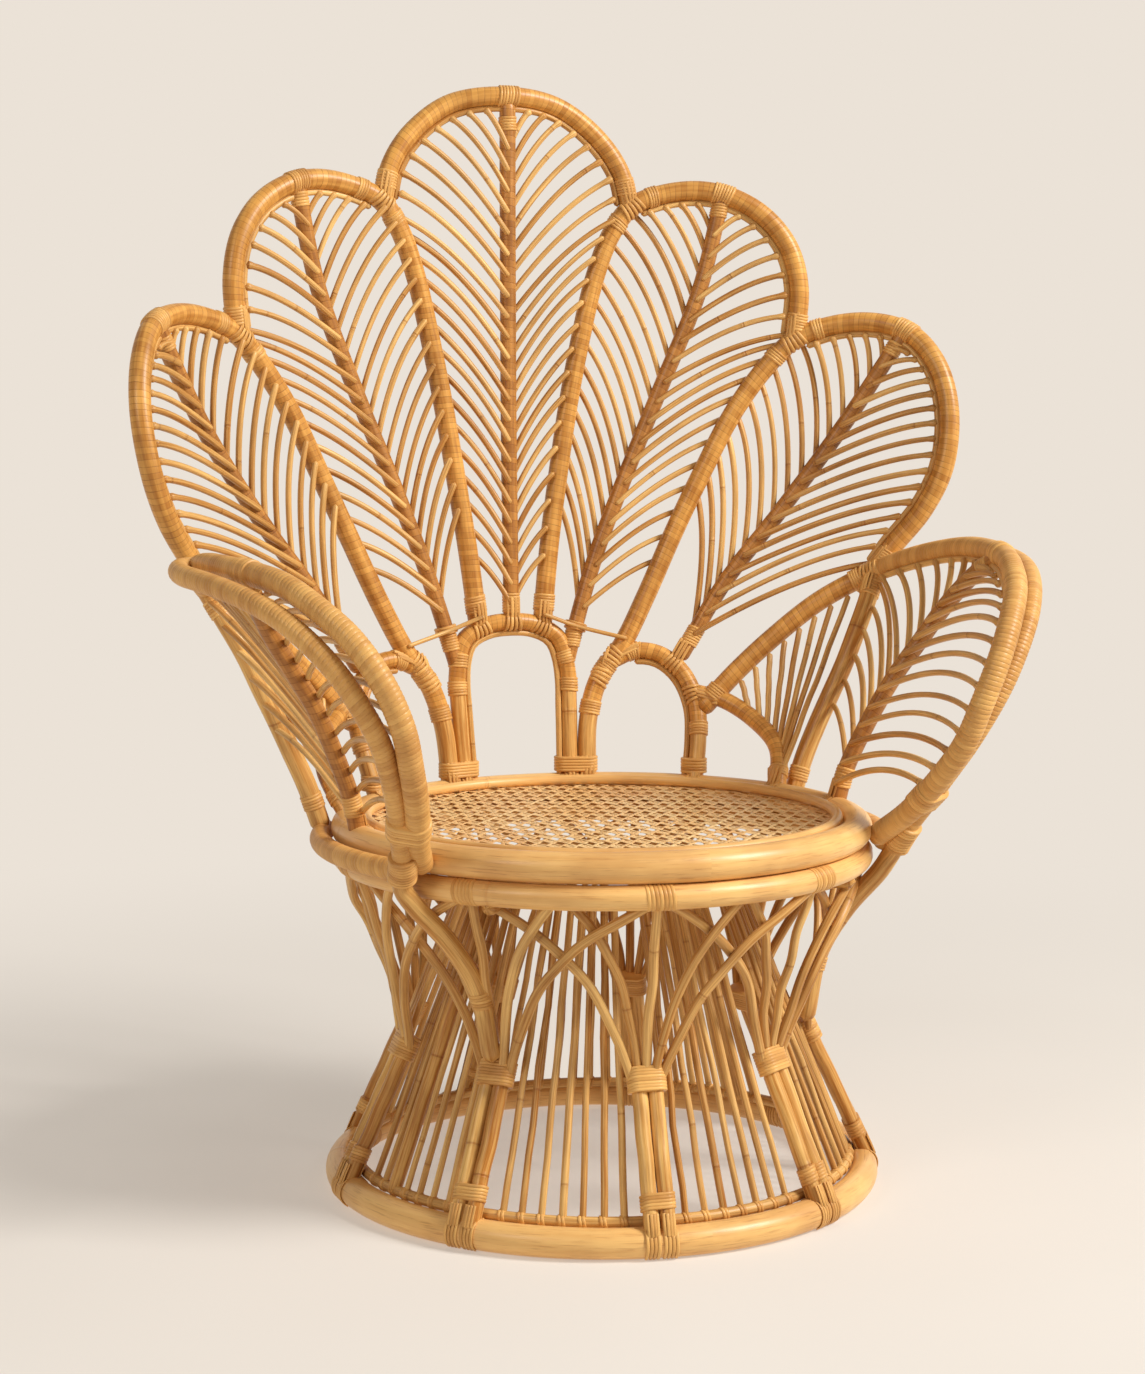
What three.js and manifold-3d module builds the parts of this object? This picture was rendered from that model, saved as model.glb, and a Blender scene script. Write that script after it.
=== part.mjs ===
// A rattan peacock chair: a waisted round base, a round caned seat and a back of seven leaf petals,
// the outer two of which turn forward as arms.
// Millimetres, +Z up, the front faces -Y, the origin is on the floor under the middle of the box
// round the chair.
import * as THREE from "three";
import { mergeVertices } from "three/addons/utils/BufferGeometryUtils.js";
import Module from "manifold-3d";

const wasm = await Module();
wasm.setup();

// The driving sizes of the chair
const seatHeight = 440; // floor to the top of the upper seat ring
const seatRadius = 298; // centre line of the upper seat ring
const backRise = 852; // top of the seat to the centre line of the crown
const backFlare = 250; // how far the back leans out past the seat ring where it leans most
const flarePower = 3; // how early that lean is reached
const flareRise = 720; // height over the seat at which the back stops leaning out
const armRise = 300; // top of the seat to the top of the arms
const armFlare = 250; // how far the arms spread past the seat ring
const floorRadius = 309; // centre line of the ring on the floor
const waistRadius = 243; // centre line of the legs at the waist
const waistHeight = 178; // middle of the waist bands
const clearance = 0.3; // what a piece keeps to those that it is coped round
const seatGap = 0.4; // what pieces that rest on each other keep between them

// The canes, by their radii
const rimRadius = 12.5;
const crownRimRadius = 12;
const armRimRadius = 13.5;
const armPoleRadius = 12;
const archRadius = 11;
const postRadius = 12;
const spineRadius = 10.5;
const liningRadius = 4.2;
const ribRadius = 3.5;
const railRadius = 12.5;
const legRadius = 10;
const fanCaneRadius = 5.5;
const spindleRadius = 4.2;

// The rings of the seat and the base
const seatRingRadius = 17.5;
const lowerRingRadius = 13.5;
const floorRingRadius = 17;
const seatHoopRadius = 5.5;
const floorHoopRadius = 5.5;
const crownHoopRadius = 6;
const webThickness = 3;
const webDrop = 12; // top of the seat ring down to the top of the cane web
const webHoleWidth = 22;
const webHoleLength = 26;
const webPitch = 58; // from one hole of the web to the next in its row
const webEdge = 24; // plain rim of the web
const crossBarRadius = 9;
const cagePostRadius = 8;

// The base under the seat
const legSink = 1.5; // how far each leg of a pair is pressed past the line where they touch
const legOutset = 2; // how far outside the middle of the floor ring the legs stand
const floorHoopInset = 18; // how far inside that ring its thin hoop lies
const spindleInset = 143; // how far inside the seat ring the hoop lies that the spindles rise to
const spindleDrop = 70; // top of the seat down to that hoop
const fanInset = 1; // how far inside the middle of the seat ring the fans end
const fanSpacing = 8; // from cane to cane inside a waist band
const fanLayer = 5.9; // half the way between two crossing layers of fan canes
const fanEvenShare = 0.52; // how much of its turn aside a fan cane makes evenly as it rises
const fanTurnPower = 3.8; // how late it makes the rest
const fanLeanPower = 1.5; // how late it leans out
const bandWidth = 44;
const bandDepth = 26;
const bandHeight = 25;
const bandCorner = 7;
const mergeDistance = 0.001;

// What follows from those sizes
const legFoot = floorRadius + legOutset;
const floorHoopLine = floorRadius - floorHoopInset;
const spindleTopLine = seatRadius - spindleInset;
const spindleTop = seatHeight - spindleDrop;
const fanTopLine = seatRadius - fanInset;

// Counts, angles in degrees and the fineness of the faces
const legCount = 9;
const firstLegDegrees = -10; // measured round from the front
const spindlesPerBay = 7;
const spindleMarginDegrees = 6.8;
const ringSegments = 30;
const ringSides = 8;
const poleSides = 6;
const thinSides = 4;
const ribSides = 3;
const nearlyParallelShare = 0.97;

const colours = {
  wrapped: { color: 0xcf9a58, roughness: 0.45, metalness: 0 },
  polished: { color: 0xe0b473, roughness: 0.3, metalness: 0 },
  cane: { color: 0xd3a566, roughness: 0.5, metalness: 0 },
  web: { color: 0xe2c08f, roughness: 0.6, metalness: 0 },
};

// Turns a geometry into a solid that faces out.
function solidOf(geometry) {
  const bare = new THREE.BufferGeometry();
  bare.setAttribute("position", geometry.getAttribute("position"));
  bare.setIndex(geometry.getIndex());
  const merged = mergeVertices(bare, mergeDistance);
  const vertProperties = new Float32Array(merged.getAttribute("position").array);
  const triVerts = new Uint32Array(merged.getIndex().array);
  const made = new wasm.Manifold(new wasm.Mesh({ numProp: 3, vertProperties, triVerts }));
  if (made.volume() > 0) {
    return made;
  }
  return new wasm.Manifold(
    new wasm.Mesh({ numProp: 3, vertProperties, triVerts: triVerts.slice().reverse() }),
  );
}

function joined(solids) {
  return solids.reduce((whole, next) => whole.add(next));
}

// A cut can leave slivers beyond the piece that it was cut by: the piece itself is the largest body.
function largest(solid) {
  const bodies = solid.decompose();
  return bodies.reduce((best, body) => (body.volume() > best.volume() ? body : best));
}

function polygon(radius, sides, turnDegrees) {
  const turn = THREE.MathUtils.degToRad(turnDegrees);
  const corners = [];
  for (let i = 0; i < sides; i += 1) {
    const angle = turn + (2 * Math.PI * i) / sides;
    corners.push(new THREE.Vector2(radius * Math.cos(angle), radius * Math.sin(angle)));
  }
  return corners;
}

function smooth(points) {
  return new THREE.CatmullRomCurve3(points, false, "centripetal");
}

// Frames along a curve whose normals point away from the middle of the chair, so that flats line up.
function outwardFrames(curve, steps) {
  const frames = { tangents: [], normals: [], binormals: [] };
  for (let i = 0; i <= steps; i += 1) {
    const tangent = curve.getTangentAt(i / steps);
    const outward = curve.getPointAt(i / steps).setZ(0).normalize();
    if (Math.abs(outward.dot(tangent)) > nearlyParallelShare) {
      outward.set(0, 0, 1);
    }
    const binormal = tangent.clone().cross(outward).normalize();
    frames.tangents.push(tangent);
    frames.normals.push(binormal.clone().cross(tangent));
    frames.binormals.push(binormal);
  }
  return frames;
}

// A cane along a curve, with flat ends. Its section has a corner or a flat towards the outside, as
// each number of sides needs so that other canes meet it on a flat.
const turnDegreesBySides = { [ribSides]: 180, [thinSides]: 45, [poleSides]: 0 };
function cane(curve, radius, sides, steps) {
  curve.computeFrenetFrames = (count) => outwardFrames(curve, count);
  const section = new THREE.Shape(polygon(radius, sides, turnDegreesBySides[sides]));
  return solidOf(new THREE.ExtrudeGeometry(section, { steps, extrudePath: curve }));
}

// A closed ring round the Z axis, whose section has a flat below.
function ring(centreLine, radius, height, sides, segments) {
  const flatDegrees = 180 / sides - 90;
  const profile = polygon(radius / Math.cos(Math.PI / sides), sides, flatDegrees).map(
    (corner) => new THREE.Vector2(centreLine + corner.x, height + corner.y),
  );
  profile.push(profile[0].clone());
  const geometry = new THREE.LatheGeometry(profile, segments);
  geometry.rotateX(Math.PI / 2);
  return solidOf(geometry);
}

// A point at an angle round from the back of the chair.
function around(degrees, radius, height) {
  const angle = THREE.MathUtils.degToRad(degrees);
  return new THREE.Vector3(radius * Math.sin(angle), radius * Math.cos(angle), height);
}

function fromFront(degrees, radius, height) {
  return around(180 - degrees, radius, height);
}

// Reads a table of [degrees, share] pairs between its rows.
function shareAt(table, degrees) {
  const last = table.length - 1;
  const next = table.findIndex((row) => row[0] >= degrees);
  const upper = next < 1 ? (next < 0 ? last : 1) : next;
  const [fromDegrees, fromShare] = table[upper - 1];
  const [toDegrees, toShare] = table[upper];
  const part = THREE.MathUtils.clamp((degrees - fromDegrees) / (toDegrees - fromDegrees), 0, 1);
  return THREE.MathUtils.lerp(fromShare, toShare, part);
}

// How far the back leans out at each angle, as a share of its flare.
const leanShares = [
  [0, 0.1],
  [27, 0.25],
  [45, 0.44],
  [56, 0.6],
  [70, 0.85],
  [78, 0.95],
  [90, 1],
  [102, 0.95],
];

// A point on the dished surface of the back: degrees round from the middle, share of the back's rise.
function onBack(side, [degrees, riseShare]) {
  const rise = riseShare * backRise;
  const leant = THREE.MathUtils.clamp(rise / flareRise, 0, 1);
  const lean = backFlare * shareAt(leanShares, Math.abs(degrees)) * (1 - (1 - leant) ** flarePower);
  return around(side * degrees, seatRadius + lean, seatHeight + rise);
}

// A point of an arm: degrees round from the back, share of the arms' flare, share of their rise.
function onArm(side, [degrees, flareShare, riseShare]) {
  return around(side * degrees, seatRadius + flareShare * armFlare, seatHeight + riseShare * armRise);
}

const backPath = (side, shares) => shares.map((row) => onBack(side, row));
const armPath = (side, shares) => shares.map((row) => onArm(side, row));

// The lines of the right half of the back, as [degrees, share of the back's rise].
const crownHalfShares = [[27, 0.845], [25.3, 0.895], [20.5, 0.945], [12, 0.988]];
const crownTopShares = [[0, 1]];
const innerRimShares = [
  [7.8, 0.225], [9.7, 0.34], [11.9, 0.446], [14.3, 0.552], [16.9, 0.646], [20, 0.739],
  [23.4, 0.804], [27.5, 0.845], [33.3, 0.864], [40, 0.87], [45.5, 0.86], [50.7, 0.831],
  [54.4, 0.785], [56, 0.725], [55.5, 0.645],
];
const outerRimShares = [
  [18, -0.01], [18.4, 0.08], [21, 0.14], [26.2, 0.19], [31, 0.262], [36.2, 0.358], [41, 0.446],
  [46, 0.535], [51, 0.604], [55.5, 0.648], [60.8, 0.669], [66.4, 0.673], [71.3, 0.657],
  [75.5, 0.612], [78, 0.545], [78.6, 0.46], [76.5, 0.395], [73, 0.34], [70.9, 0.298],
];
const armRimBackShares = [[45, 0.1], [50.5, 0.15], [56.5, 0.202], [63.3, 0.258], [70.8, 0.302]];
const centreSpineShares = [[0, 0.985], [0, 0.74], [0, 0.5], [0, 0.225]];
const innerSpineShares = [
  [44, 0.865], [40, 0.72], [33.2, 0.575], [26, 0.434], [20.3, 0.325], [16.3, 0.235], [13.7, 0.17],
];
const outerSpineShares = [[70.4, 0.655], [62.7, 0.514], [54.8, 0.391], [46.5, 0.285], [39, 0.175]];
const centreArchHalfShares = [[13.8, -0.01], [13.8, 0.1], [13.6, 0.15], [11.6, 0.2], [6.5, 0.222]];
const centreArchTopShares = [[0, 0.228]];
const sideArchShares = [
  [24.6, 0.168], [29, 0.18], [34.5, 0.174], [39.6, 0.146], [43.2, 0.1], [44.6, 0.05], [45, -0.01],
];
const quarterArchShares = [[43, 0.118], [48.5, 0.11], [56, 0.085], [64, 0.047], [69, -0.01]];

// The lines of the right arm, as [degrees, share of the arms' flare, share of their rise].
const armRimShares = [
  [79.3, 0.65, 0.93], [86.3, 0.68, 0.97], [93.2, 0.69, 0.99], [100, 0.69, 0.99], [107.1, 0.69, 0.98],
  [114.1, 0.69, 0.95], [120.4, 0.7, 0.88], [125.8, 0.69, 0.78], [129.7, 0.66, 0.64], [131.6, 0.6, 0.48],
  [131.4, 0.52, 0.32], [129.4, 0.39, 0.17], [125.4, 0.24, 0.03], [121.5, 0.1, -0.07],
];
const armPoleShares = [
  [85.5, 0.7, 0.97], [90, 0.79, 0.97], [95.6, 0.83, 0.96], [101.8, 0.82, 0.945], [107.6, 0.805, 0.92],
  [112.5, 0.79, 0.885], [117.2, 0.775, 0.83], [121.2, 0.755, 0.755], [124.6, 0.72, 0.655],
  [126.9, 0.67, 0.54], [128, 0.605, 0.43], [127.8, 0.52, 0.31], [126.4, 0.42, 0.19], [124.3, 0.32, 0.07],
  [121.6, 0.22, -0.05], [118.8, 0.15, -0.16],
];
const armSpineShares = [
  [106, 0.68, 0.965], [102.6, 0.61, 0.91], [99, 0.5, 0.78], [97.6, 0.38, 0.63], [96.4, 0.25, 0.47],
  [94.7, 0.14, 0.29], [93.2, 0.05, 0.11], [92.5, 0.01, -0.03],
];
const armPostShares = [
  [71, 0.64, 0.86], [72, 0.55, 0.74], [72.4, 0.46, 0.61], [72, 0.39, 0.48], [71, 0.32, 0.35],
  [69.8, 0.255, 0.22], [68.9, 0.19, 0.09], [68.2, 0.13, -0.06],
];

// Each piece gives way to those made before it: it is coped round them with the clearance.
const pieces = [];

function add(name, finish, build) {
  let solid = build(0);
  const box = solid.boundingBox();
  for (const earlier of pieces) {
    const apart = box.min.some(
      (low, axis) =>
        low > earlier.box.max[axis] + clearance || box.max[axis] + clearance < earlier.box.min[axis],
    );
    if (!apart) {
      solid = solid.subtract(earlier.grown);
    }
  }
  pieces.push({ name, finish, box, solid: largest(solid), grown: build(clearance) });
}

const sides = [
  { word: "right", side: 1 },
  { word: "left", side: -1 },
];

// The share of a curve's length at which it comes nearest to a point.
const nearSamples = 200;
function shareNear(curve, point) {
  let best = 0;
  let least = Infinity;
  for (let i = 0; i <= nearSamples; i += 1) {
    const distance = curve.getPointAt(i / nearSamples).distanceTo(point);
    if (distance < least) {
      least = distance;
      best = i / nearSamples;
    }
  }
  return best;
}

// Points beside a curve, drawn in from it towards the middle of a petal.
const insetCount = 10;
function inset(curve, fromShare, toShare, distance, middle) {
  const points = [];
  for (let i = 0; i <= insetCount; i += 1) {
    const share = THREE.MathUtils.lerp(fromShare, toShare, i / insetCount);
    const point = curve.getPointAt(share);
    const tangent = curve.getTangentAt(share);
    const inward = middle.clone().sub(point);
    inward.addScaledVector(tangent, -inward.dot(tangent)).normalize();
    points.push(point.addScaledVector(inward, distance));
  }
  return points;
}

// The curves that several pieces share
const crown = smooth([
  ...backPath(-1, crownHalfShares),
  ...backPath(1, crownTopShares),
  ...backPath(1, [...crownHalfShares].reverse()),
]);
const lines = {};
for (const { word, side } of sides) {
  lines[word] = {
    innerRim: smooth(backPath(side, innerRimShares)),
    outerRim: smooth(backPath(side, outerRimShares)),
    armRim: smooth([...backPath(side, armRimBackShares), ...armPath(side, armRimShares)]),
    armPost: smooth(armPath(side, armPostShares)),
    innerSpine: smooth(backPath(side, innerSpineShares).reverse()),
    outerSpine: smooth(backPath(side, outerSpineShares).reverse()),
    armSpine: smooth(armPath(side, armSpineShares).reverse()),
    sideArch: smooth(backPath(side, sideArchShares)),
    quarterArch: smooth(backPath(side, quarterArchShares)),
  };
}
const centreSpine = smooth(backPath(1, centreSpineShares).reverse());
const centreArch = smooth([
  ...backPath(-1, centreArchHalfShares),
  ...backPath(1, centreArchTopShares),
  ...backPath(1, [...centreArchHalfShares].reverse()),
]);

// Where pieces begin and end along the curves that they follow
const sideArchMiddleShares = [34.5, 0.05];
const centreArchMiddleShares = [0, 0.1];
const jointShare = 0.025;
const crownJointShare = 0.03;
const armLiningEndShare = 0.93;
const archLiningStartShare = 0.12;
const innerLeafStartShare = 0.1;
const outerLeafStartShare = 0.17;
const cornerRootShares = [0.4, 0.95];
const cornerTipShares = [0.2, 0.85];
const centreRowShares = { fromShare: 0.03, toShare: 0.95 };
const innerRowShares = { fromShare: 0.1, toShare: 0.95 };
const outerRowShares = { fromShare: 0.05, toShare: 0.95 };
const armRearShares = { fromShare: 0.08, toShare: 0.86, edgeShares: [0.2, 0.97] };
const armFrontShares = { fromShare: 0.06, toShare: 0.92, edgeShares: [0.02, 0.96] };

// The ribs of the leaves
const centreRibCount = 20;
const innerRibCount = 19;
const outerRibCount = 17;
const armRibCount = 14;
const cornerRibCount = 8;
const lowRibDegrees = 38;
const highRibDegrees = 46;
const leastSlant = 0.5;
const ribBowShare = 0.08;
const bowedReach = 150; // a rib longer than this is bent in its middle

const rimSteps = 20;
const armRimSteps = 22;
const crownSteps = 12;
const archSteps = 12;
const centreArchSteps = 16;
const armPostSteps = 6;
const quarterArchSteps = 6;
const spineSteps = 3;
const liningSteps = 10;

// The rings that carry everything
const ringHeight = seatHeight - seatRingRadius;
const lowerRingHeight = ringHeight - seatRingRadius - seatGap - lowerRingRadius;
const lowerRingLine = seatRadius + seatRingRadius - lowerRingRadius;
add("floor_ring", "polished", (growth) =>
  ring(floorRadius, floorRingRadius + growth, floorRingRadius, ringSides, ringSegments),
);
add("upper_seat_ring", "polished", (growth) =>
  ring(seatRadius, seatRingRadius + growth, ringHeight, ringSides, ringSegments),
);
add("lower_seat_ring", "polished", (growth) =>
  ring(lowerRingLine, lowerRingRadius + growth, lowerRingHeight, poleSides, ringSegments),
);

// The cane web: a thin disc with rows of gaps, each row set half a pitch on from the last.
const webRadius = seatRadius - seatRingRadius - seatGap;
function makeWeb() {
  const disc = new THREE.Shape(polygon(webRadius, ringSegments, 90));
  const rowPitch = (webPitch * Math.sqrt(3)) / 2;
  const rows = Math.ceil(webRadius / rowPitch);
  for (let row = -rows; row <= rows; row += 1) {
    const shift = row % 2 === 0 ? 0 : webPitch / 2;
    for (let column = -rows - 1; column <= rows + 1; column += 1) {
      const x = column * webPitch + shift;
      const y = row * rowPitch;
      if (Math.hypot(x, y) < webRadius - webEdge) {
        const gap = polygon(1, thinSides, 0).map(
          (corner) =>
            new THREE.Vector2(x + (corner.x * webHoleLength) / 2, y + (corner.y * webHoleWidth) / 2),
        );
        disc.holes.push(new THREE.Path(gap));
      }
    }
  }
  const geometry = new THREE.ExtrudeGeometry(disc, { depth: webThickness, bevelEnabled: false });
  geometry.translate(0, 0, seatHeight - webDrop - webThickness);
  return solidOf(geometry);
}
add("cane_web", "web", makeWeb);
const hoopLine = webRadius - seatHoopRadius;
const hoopHeight = seatHeight - webDrop + seatGap + seatHoopRadius;
add("seat_hoop", "polished", (growth) =>
  ring(hoopLine, seatHoopRadius + growth, hoopHeight, thinSides, ringSegments),
);

// The rims of the petals
for (const { word } of sides) {
  const { armRim } = lines[word];
  add(`arm_rim_${word}`, "wrapped", (growth) =>
    cane(armRim, armRimRadius + growth, poleSides, armRimSteps),
  );
}
for (const { word } of sides) {
  const { outerRim } = lines[word];
  add(`outer_petal_rim_${word}`, "wrapped", (growth) =>
    cane(outerRim, rimRadius + growth, poleSides, rimSteps),
  );
}
add("centre_arch", "wrapped", (growth) =>
  cane(centreArch, archRadius + growth, poleSides, centreArchSteps),
);
for (const { word } of sides) {
  const { innerRim } = lines[word];
  add(`inner_petal_rim_${word}`, "wrapped", (growth) =>
    cane(innerRim, rimRadius + growth, poleSides, rimSteps),
  );
}
add("centre_petal_rim", "wrapped", (growth) =>
  cane(crown, crownRimRadius + growth, poleSides, crownSteps),
);
for (const { word } of sides) {
  const { sideArch } = lines[word];
  add(`side_arch_${word}`, "wrapped", (growth) =>
    cane(sideArch, archRadius + growth, poleSides, archSteps),
  );
}

// The legs, their fans and the spindles
const bayDegrees = 360 / legCount;
const legDegrees = Array.from({ length: legCount }, (_, i) => firstLegDegrees + i * bayDegrees);
const ringTop = 2 * floorRingRadius + seatGap;
const fanSpreadShares = [-0.94, -0.45, 0, 0.45, 0.94];
const fanRiseShares = [0, 0.3, 0.6, 0.85, 1];
const fanSteps = 3;
const bandTilt = Math.atan2(legFoot - waistRadius, waistHeight - ringTop);

function makeBand(degrees, growth) {
  const halfWidth = bandWidth / 2 + growth;
  const halfDepth = bandDepth / 2 + growth;
  const outline = [
    [halfWidth - bandCorner, -halfDepth],
    [halfWidth, -halfDepth + bandCorner],
    [halfWidth, halfDepth - bandCorner],
    [halfWidth - bandCorner, halfDepth],
    [-halfWidth + bandCorner, halfDepth],
    [-halfWidth, halfDepth - bandCorner],
    [-halfWidth, -halfDepth + bandCorner],
    [-halfWidth + bandCorner, -halfDepth],
  ].map(([x, y]) => new THREE.Vector2(x, y));
  const height = bandHeight + 2 * growth;
  const shape = new THREE.Shape(outline);
  const geometry = new THREE.ExtrudeGeometry(shape, { depth: height, bevelEnabled: false });
  geometry.translate(0, 0, -height / 2);
  geometry.rotateX(-bandTilt);
  geometry.translate(0, -waistRadius, waistHeight);
  geometry.rotateZ(THREE.MathUtils.degToRad(degrees));
  return solidOf(geometry);
}

// One cane of a fan: it leaves the waist band upright and sweeps round towards its neighbours.
function fanCane(degrees, index) {
  const spreadShare = fanSpreadShares[index];
  const start = (index - (fanSpreadShares.length - 1) / 2) * fanSpacing;
  const startDegrees = THREE.MathUtils.radToDeg(start / waistRadius);
  const layer = Math.sign(spreadShare) * fanLayer;
  const sink = spreadShare === 0 ? 0 : fanCaneRadius;
  const top = lowerRingHeight - lowerRingRadius - seatGap - sink;
  const points = fanRiseShares.map((rise) => {
    const turnShare = fanEvenShare * rise + (1 - fanEvenShare) * rise ** fanTurnPower;
    const turned = startDegrees * (1 - rise) + spreadShare * bayDegrees * turnShare;
    const radius = THREE.MathUtils.lerp(waistRadius, fanTopLine, rise ** fanLeanPower);
    const layered = layer * Math.min(1, rise / fanRiseShares[1]);
    return fromFront(degrees + turned, radius + layered, THREE.MathUtils.lerp(waistHeight, top, rise));
  });
  return smooth(points);
}

legDegrees.forEach((degrees, i) => {
  add(`leg_fan_${i + 1}`, "cane", (growth) =>
    joined([
      makeBand(degrees, growth),
      ...fanSpreadShares.map((_, index) =>
        cane(fanCane(degrees, index), fanCaneRadius + growth, ribSides, fanSteps),
      ),
    ]),
  );
});

// A pair of legs side by side, as one section with a waist between its two rounds.
const legSectionDegrees = [-120, -60, 0, 60, 120];
function makeLegPair(degrees, growth) {
  const radius = legRadius + growth;
  const halfSpacing = legRadius - legSink;
  const half = legSectionDegrees.map((turn) => {
    const angle = THREE.MathUtils.degToRad(turn);
    return new THREE.Vector2(radius * Math.sin(angle), halfSpacing + radius * Math.cos(angle));
  });
  const section = new THREE.Shape([...half, ...half.map((corner) => corner.clone().negate())]);
  const foot = fromFront(degrees, legFoot, ringTop);
  const head = fromFront(degrees, waistRadius, waistHeight);
  const up = head.clone().sub(foot).normalize();
  head.addScaledVector(up, -bandHeight / 2 - seatGap);
  const line = new THREE.LineCurve3(foot, head);
  line.computeFrenetFrames = (count) => outwardFrames(line, count);
  return solidOf(new THREE.ExtrudeGeometry(section, { steps: 1, extrudePath: line }));
}
legDegrees.forEach((degrees, i) => {
  add(`leg_pair_${i + 1}`, "cane", (growth) => makeLegPair(degrees, growth));
});

// A hoop under the seat holds the heads of the spindles, and two crossed bars carry it between them
// from the lower seat ring.
const barHeight = spindleTop + crownHoopRadius;
const barDegrees = [45, 135];
add("crossed_bars", "cane", (growth) => {
  const rods = [ring(spindleTopLine, crownHoopRadius + growth, spindleTop, thinSides, ringSegments)];
  for (const degrees of barDegrees) {
    const from = around(degrees, lowerRingLine, barHeight);
    const to = around(degrees + 180, lowerRingLine, barHeight);
    rods.push(cane(new THREE.LineCurve3(from, to), crossBarRadius + growth, poleSides, 1));
  }
  return joined(rods);
});

// The spindles rise from a thin hoop on the floor ring and lean in to the hoop under the seat. A thicker
// post stands in the place of two of them: the bay and the place in it are counted from 0.
const postPlaces = [[3, 1], [7, 2]];
const hoopReach = floorRingRadius + seatGap + floorHoopRadius * Math.SQRT2;
const floorHoopHeight = floorRingRadius + Math.sqrt(hoopReach ** 2 - floorHoopInset ** 2);
function makeUpright(degrees, radius, sides) {
  const foot = fromFront(degrees, floorHoopLine, floorHoopHeight + floorHoopRadius / 2);
  const head = fromFront(degrees, spindleTopLine, spindleTop);
  const down = foot.clone().sub(head).normalize();
  head.addScaledVector(down, crownHoopRadius * Math.SQRT2 + seatGap);
  return cane(new THREE.LineCurve3(foot, head), radius, sides, 1);
}
add("spindle_cage", "cane", () => {
  const step = (bayDegrees - 2 * spindleMarginDegrees) / (spindlesPerBay - 1);
  const canes = [ring(floorHoopLine, floorHoopRadius, floorHoopHeight, thinSides, ringSegments)];
  legDegrees.forEach((degrees, bay) => {
    for (let i = 0; i < spindlesPerBay; i += 1) {
      const turned = degrees + spindleMarginDegrees + i * step;
      const isPost = postPlaces.some(([postBay, place]) => postBay === bay && place === i);
      const upright = isPost
        ? makeUpright(turned, cagePostRadius, poleSides)
        : makeUpright(turned, spindleRadius, ribSides);
      canes.push(upright);
    }
  });
  return joined(canes);
});

// The rail outside the seat ring under each arm
const railLine = seatRadius + seatRingRadius + seatGap + railRadius;
const railHeight = ringHeight - railRadius;
const railDegrees = [64, 75, 86, 97, 108, 119];
const railSteps = 8;
for (const { word, side } of sides) {
  const rail = smooth(railDegrees.map((degrees) => around(side * degrees, railLine, railHeight)));
  add(`arm_base_rail_${word}`, "wrapped", (growth) =>
    cane(rail, railRadius + growth, poleSides, railSteps),
  );
}

// The outer pole of each arm runs on down past the seat and ends at a waist band as a leg.
const armLegEnds = {
  right: { degrees: 62, radius: waistRadius },
  left: { degrees: -50.5, radius: waistRadius + armPoleRadius },
};
const armLegShares = [[0.1, 0.13], [0.33, 0.53], [0.62, 0.87], [1, 1.02]]; // how far down, how far in
const armPoleSteps = 20;
for (const { word, side } of sides) {
  const upper = armPath(side, armPoleShares);
  const start = upper[upper.length - 1];
  const { degrees, radius } = armLegEnds[word];
  const end = fromFront(degrees, radius, waistHeight + bandHeight);
  const lower = armLegShares.map(([downShare, inShare]) => {
    const height = THREE.MathUtils.lerp(start.z, end.z, downShare);
    return start.clone().lerp(end, inShare).setZ(height);
  });
  const pole = smooth([...upper, ...lower]);
  add(`arm_pole_${word}`, "wrapped", (growth) =>
    cane(pole, armPoleRadius + growth, poleSides, armPoleSteps),
  );
}
for (const { word } of sides) {
  const { armPost } = lines[word];
  add(`arm_post_${word}`, "cane", (growth) =>
    cane(armPost, postRadius + growth, poleSides, armPostSteps),
  );
}

// Thin canes that line the rims of the petals and the arches
const liningOffset = clearance + liningRadius;
function addLining(name, curve, fromShare, toShare, distance, middle) {
  const path = smooth(inset(curve, fromShare, toShare, distance + liningOffset, middle));
  add(name, "cane", (growth) => cane(path, liningRadius + growth, ribSides, liningSteps));
}

const crownMiddle = centreSpine.getPointAt(0.5);
const crownEndShare = 1 - crownJointShare;
addLining("centre_petal_lining", crown, crownJointShare, crownEndShare, crownRimRadius, crownMiddle);
for (const { word, side } of sides) {
  const { innerRim, outerRim, armRim, innerSpine, outerSpine, armSpine, sideArch } = lines[word];
  const crownFoot = crown.getPointAt(side > 0 ? 1 : 0);
  const line = lines[word];
  line.crownJoint = shareNear(innerRim, crownFoot);
  line.innerJoint = shareNear(outerRim, innerRim.getPointAt(1));
  line.outerJoint = shareNear(armRim, outerRim.getPointAt(1));
  const innerMiddle = innerSpine.getPointAt(0.5);
  const outerMiddle = outerSpine.getPointAt(0.5);
  const armMiddle = armSpine.getPointAt(0.5);
  const archMiddle = onBack(side, sideArchMiddleShares);
  const innerStart = line.crownJoint + jointShare;
  const outerStart = line.innerJoint + jointShare;
  const armStart = line.outerJoint + jointShare;
  const rimEnd = 1 - jointShare;
  addLining(`inner_petal_lining_${word}`, innerRim, innerStart, rimEnd, rimRadius, innerMiddle);
  addLining(`outer_petal_lining_${word}`, outerRim, outerStart, rimEnd, rimRadius, outerMiddle);
  addLining(`arm_lining_${word}`, armRim, armStart, armLiningEndShare, armRimRadius, armMiddle);
  addLining(`side_arch_lining_${word}`, sideArch, archLiningStartShare, 1, archRadius, archMiddle);
}
addLining("centre_arch_lining", centreArch, 0, 1, archRadius, onBack(1, centreArchMiddleShares));

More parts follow.
